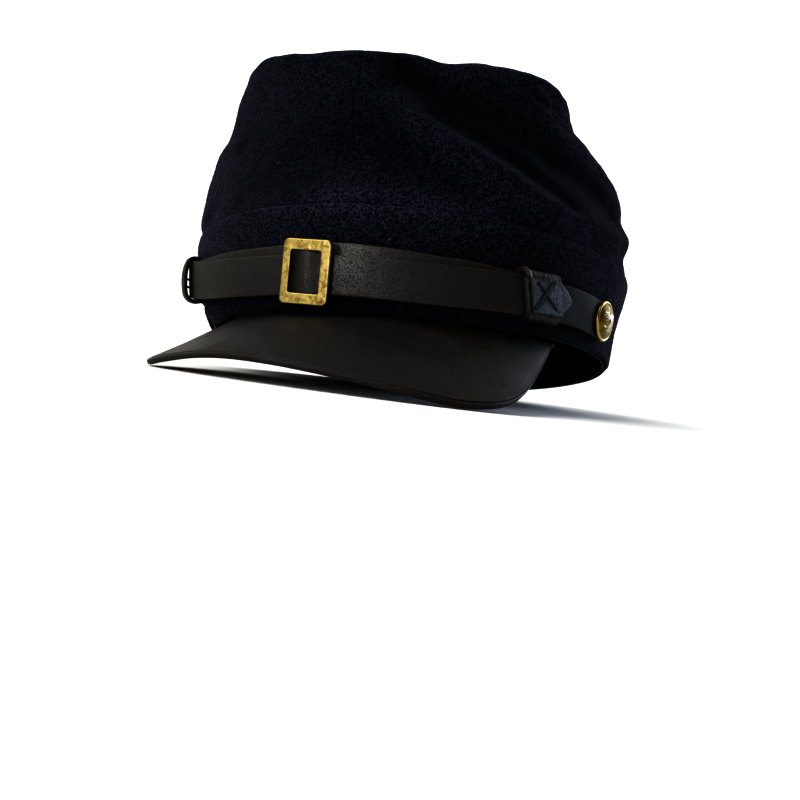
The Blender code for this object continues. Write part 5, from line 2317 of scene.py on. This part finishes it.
def stand(name: str, data: bpy.types.ID, place: Triple, axes: list[Array]) -> bpy.types.Object:
    """Puts a light or a camera in the scene.

    Args:
        name: the object's name.
        data: the light or the camera.
        place: where it stands.
        axes: the directions of its own X, Y and Z.

    Returns:
        The new object.
    """
    made = bpy.data.objects.new(name, data)
    made.matrix_world = Matrix.Translation(place) @ Matrix(np.column_stack(axes).tolist()).to_4x4()
    bpy.context.scene.collection.objects.link(made)
    return made


def facing(back: Array) -> list[Array]:
    """The axes of a light that shines along -back, held level."""
    side = unit(np.cross((0, 0, 1.0), back))
    return [side, np.cross(back, side), back]


@dataclass(frozen=True)
class Lamp:
    """One soft square light."""

    name: str
    place: Triple
    size: float
    power: float
    colour: Colour = (1.0, 1.0, 1.0)
    aim: Triple = (0.0, 0.0, 0.06)

    def hang(self) -> None:
        """Puts the light in the scene, turned towards its aim."""
        data = bpy.data.lights.new(self.name, "AREA")
        data.shape, data.size, data.energy, data.color = "SQUARE", self.size, self.power, self.colour
        stand(self.name, data, self.place, facing(unit(np.array(self.place) - self.aim)))


@dataclass(frozen=True)
class Viewpoint:
    """The camera: its place, where it looks and how it is held."""

    place: Triple = (0.1477, -0.5761, 0.0155)
    turned: float = 13.67  # degrees from +Y towards -X
    down: float = 1.81
    roll: float = 7.36
    focal_share: float = 1468.86 / 800  # focal length as a share of the picture's width

    def set_up(self) -> None:
        """Makes the camera and gives it to the scene."""
        a, d, r = (radians(x) for x in (self.turned, self.down, self.roll))
        ahead = np.array([-np.sin(a) * np.cos(d), np.cos(a) * np.cos(d), -np.sin(d)])
        level = np.array([np.cos(a), np.sin(a), 0.0])
        above = np.cross(level, ahead)
        right = level * np.cos(r) + above * np.sin(r)
        up = np.cross(right, ahead)
        data = bpy.data.cameras.new("photo_view")
        data.sensor_width = 36.0
        data.lens = 36.0 * self.focal_share
        data.clip_start, data.clip_end = 0.01, 20.0
        bpy.context.scene.camera = stand("photo_view", data, self.place, [right, up, -ahead])


@dataclass(frozen=True)
class Sky:
    """A very wide soft light from one side, as from an overcast sky through large windows."""

    name: str
    around: float  # degrees from -Y, positive to +X
    above: float
    spread: float
    power: float
    colour: Colour = (1.0, 1.0, 1.0)

    def hang(self) -> None:
        """Puts the light in the scene, shining down from its direction."""
        a, e = radians(self.around), radians(self.above)
        back = np.array([np.sin(a) * np.cos(e), -np.cos(a) * np.cos(e), np.sin(e)])
        data = bpy.data.lights.new(self.name, "SUN")
        data.energy, data.angle, data.color = self.power, radians(self.spread), self.colour
        stand(self.name, data, (0.0, 0.0, 0.0), facing(back))


@dataclass
class Studio:
    """The floor, the lights and the camera."""

    lights: tuple[Sky | Lamp, ...] = (
        Sky("daylight", -58.0, 52.0, 60.0, 2.3, (1.0, 0.98, 0.945)),
        Lamp("window", (-0.54, -1.97, 0.30), 0.7, 14.0, (1.0, 0.98, 0.94)),
        Lamp("far_window", (1.35, 1.40, 0.70), 0.9, 14.5, (0.62, 0.77, 1.0)),
    )
    floor_colour: Colour = (0.80, 0.80, 0.80)
    room: Pair = (0.10, 0.86)  # brightness of the room before and behind the cap
    tint: Colour = (1.0, 0.965, 0.92)  # of the room's light

    def lay_floor(self) -> bpy.types.Object:
        """A near-white flat disc, 30 m across, so that it ends at the horizon.

        Returns:
            The stage object.
        """
        turn = np.linspace(0, 2 * np.pi, 128, endpoint=False)[None]
        radius = np.geomspace(0.2, 15.0, 12)[:, None]
        rings = np.stack([radius * np.cos(turn), radius * np.sin(turn), 0 * radius * turn], -1)
        index = np.arange(rings[..., 0].size).reshape(rings.shape[:2])
        ahead = np.roll(index, -1, 1)
        faces = np.stack([index[:-1], index[1:], ahead[1:], ahead[:-1]], -1).reshape(-1, 4)
        mesh = bpy.data.meshes.new("studio_floor")
        mesh.from_pydata(rings.reshape(-1, 3).tolist(), [], [*faces.tolist(), index[0].tolist()])
        mesh.materials.append(self.paint())
        floor = bpy.data.objects.new("studio_floor", mesh)
        bpy.context.scene.collection.objects.link(floor)
        return floor

    def paint(self) -> Material:
        """Matt near-white paint with the faintest unevenness.

        Returns:
            The material.
        """
        made, board, shader = shader_of("studio_paint")
        uneven = board.noise(board.node("TexCoord").outputs["Object"], 3.0, 2.0)
        paint = board.blend(uneven, self.floor_colour, toned(self.floor_colour, 0.985))
        board.put(shader.inputs["Base Color"], paint)
        shader.inputs["Roughness"].default_value = 0.9
        shader.inputs["Specular IOR Level"].default_value = 0.1
        return made

    def set_up(self) -> None:
        """Sets the surroundings, hangs the lights, lays the floor and places the camera.

        The room is white where it is looked at.  As a light it is a dim room with a lit white screen
        behind the cap.
        """
        world = bpy.data.worlds.new("studio_room")
        world.use_nodes = True
        board = Board(world.node_tree)
        seen = board.node("LightPath").outputs["Is Camera Ray"]
        background = world.node_tree.nodes["Background"]
        across = board.node("SeparateXYZ", {0: board.node("TexCoord").outputs["Generated"]})
        board.put(background.inputs["Color"], board.blend(seen, self.tint, (1.0, 1.0, 1.0)))
        screen = board.remap(across.outputs["Y"], 0.0, 0.7, *self.room)
        board.put(background.inputs["Strength"], board.math("MAXIMUM", seen, screen))
        bpy.context.scene.world = world
        bpy.context.scene.view_settings.view_transform = "Standard"
        bpy.context.scene.view_settings.look = "Very High Contrast"
        for light in self.lights:
            light.hang()
        self.lay_floor()
        Viewpoint().set_up()


def main() -> None:
    """Builds the cap from the head up, then the studio, and reports each piece."""
    logging.basicConfig(level=logging.INFO, format="%(name)s: %(message)s")
    line = BandLine()
    bench = Bench(Placement.on_packed_band(line))
    log.info("shift %s mm", bench.placement.shift)
    finishes = Finishes.mixed()
    crown, band = Crown(line, finishes.crown), Band(line, finishes.band)
    Sweatband(line, finishes.sweatband, finishes.thread).build(bench)
    band.build(bench)
    crown.build(bench)
    Fuzz(finishes.hair).build(bench, crown, band)
    Peak(line, finishes.peak).build(bench)
    ChinStrap(line, finishes).build(bench)
    Studio().set_up()
    log.info("%d pieces", len(bench.built))


if __name__ == "__main__":
    main()
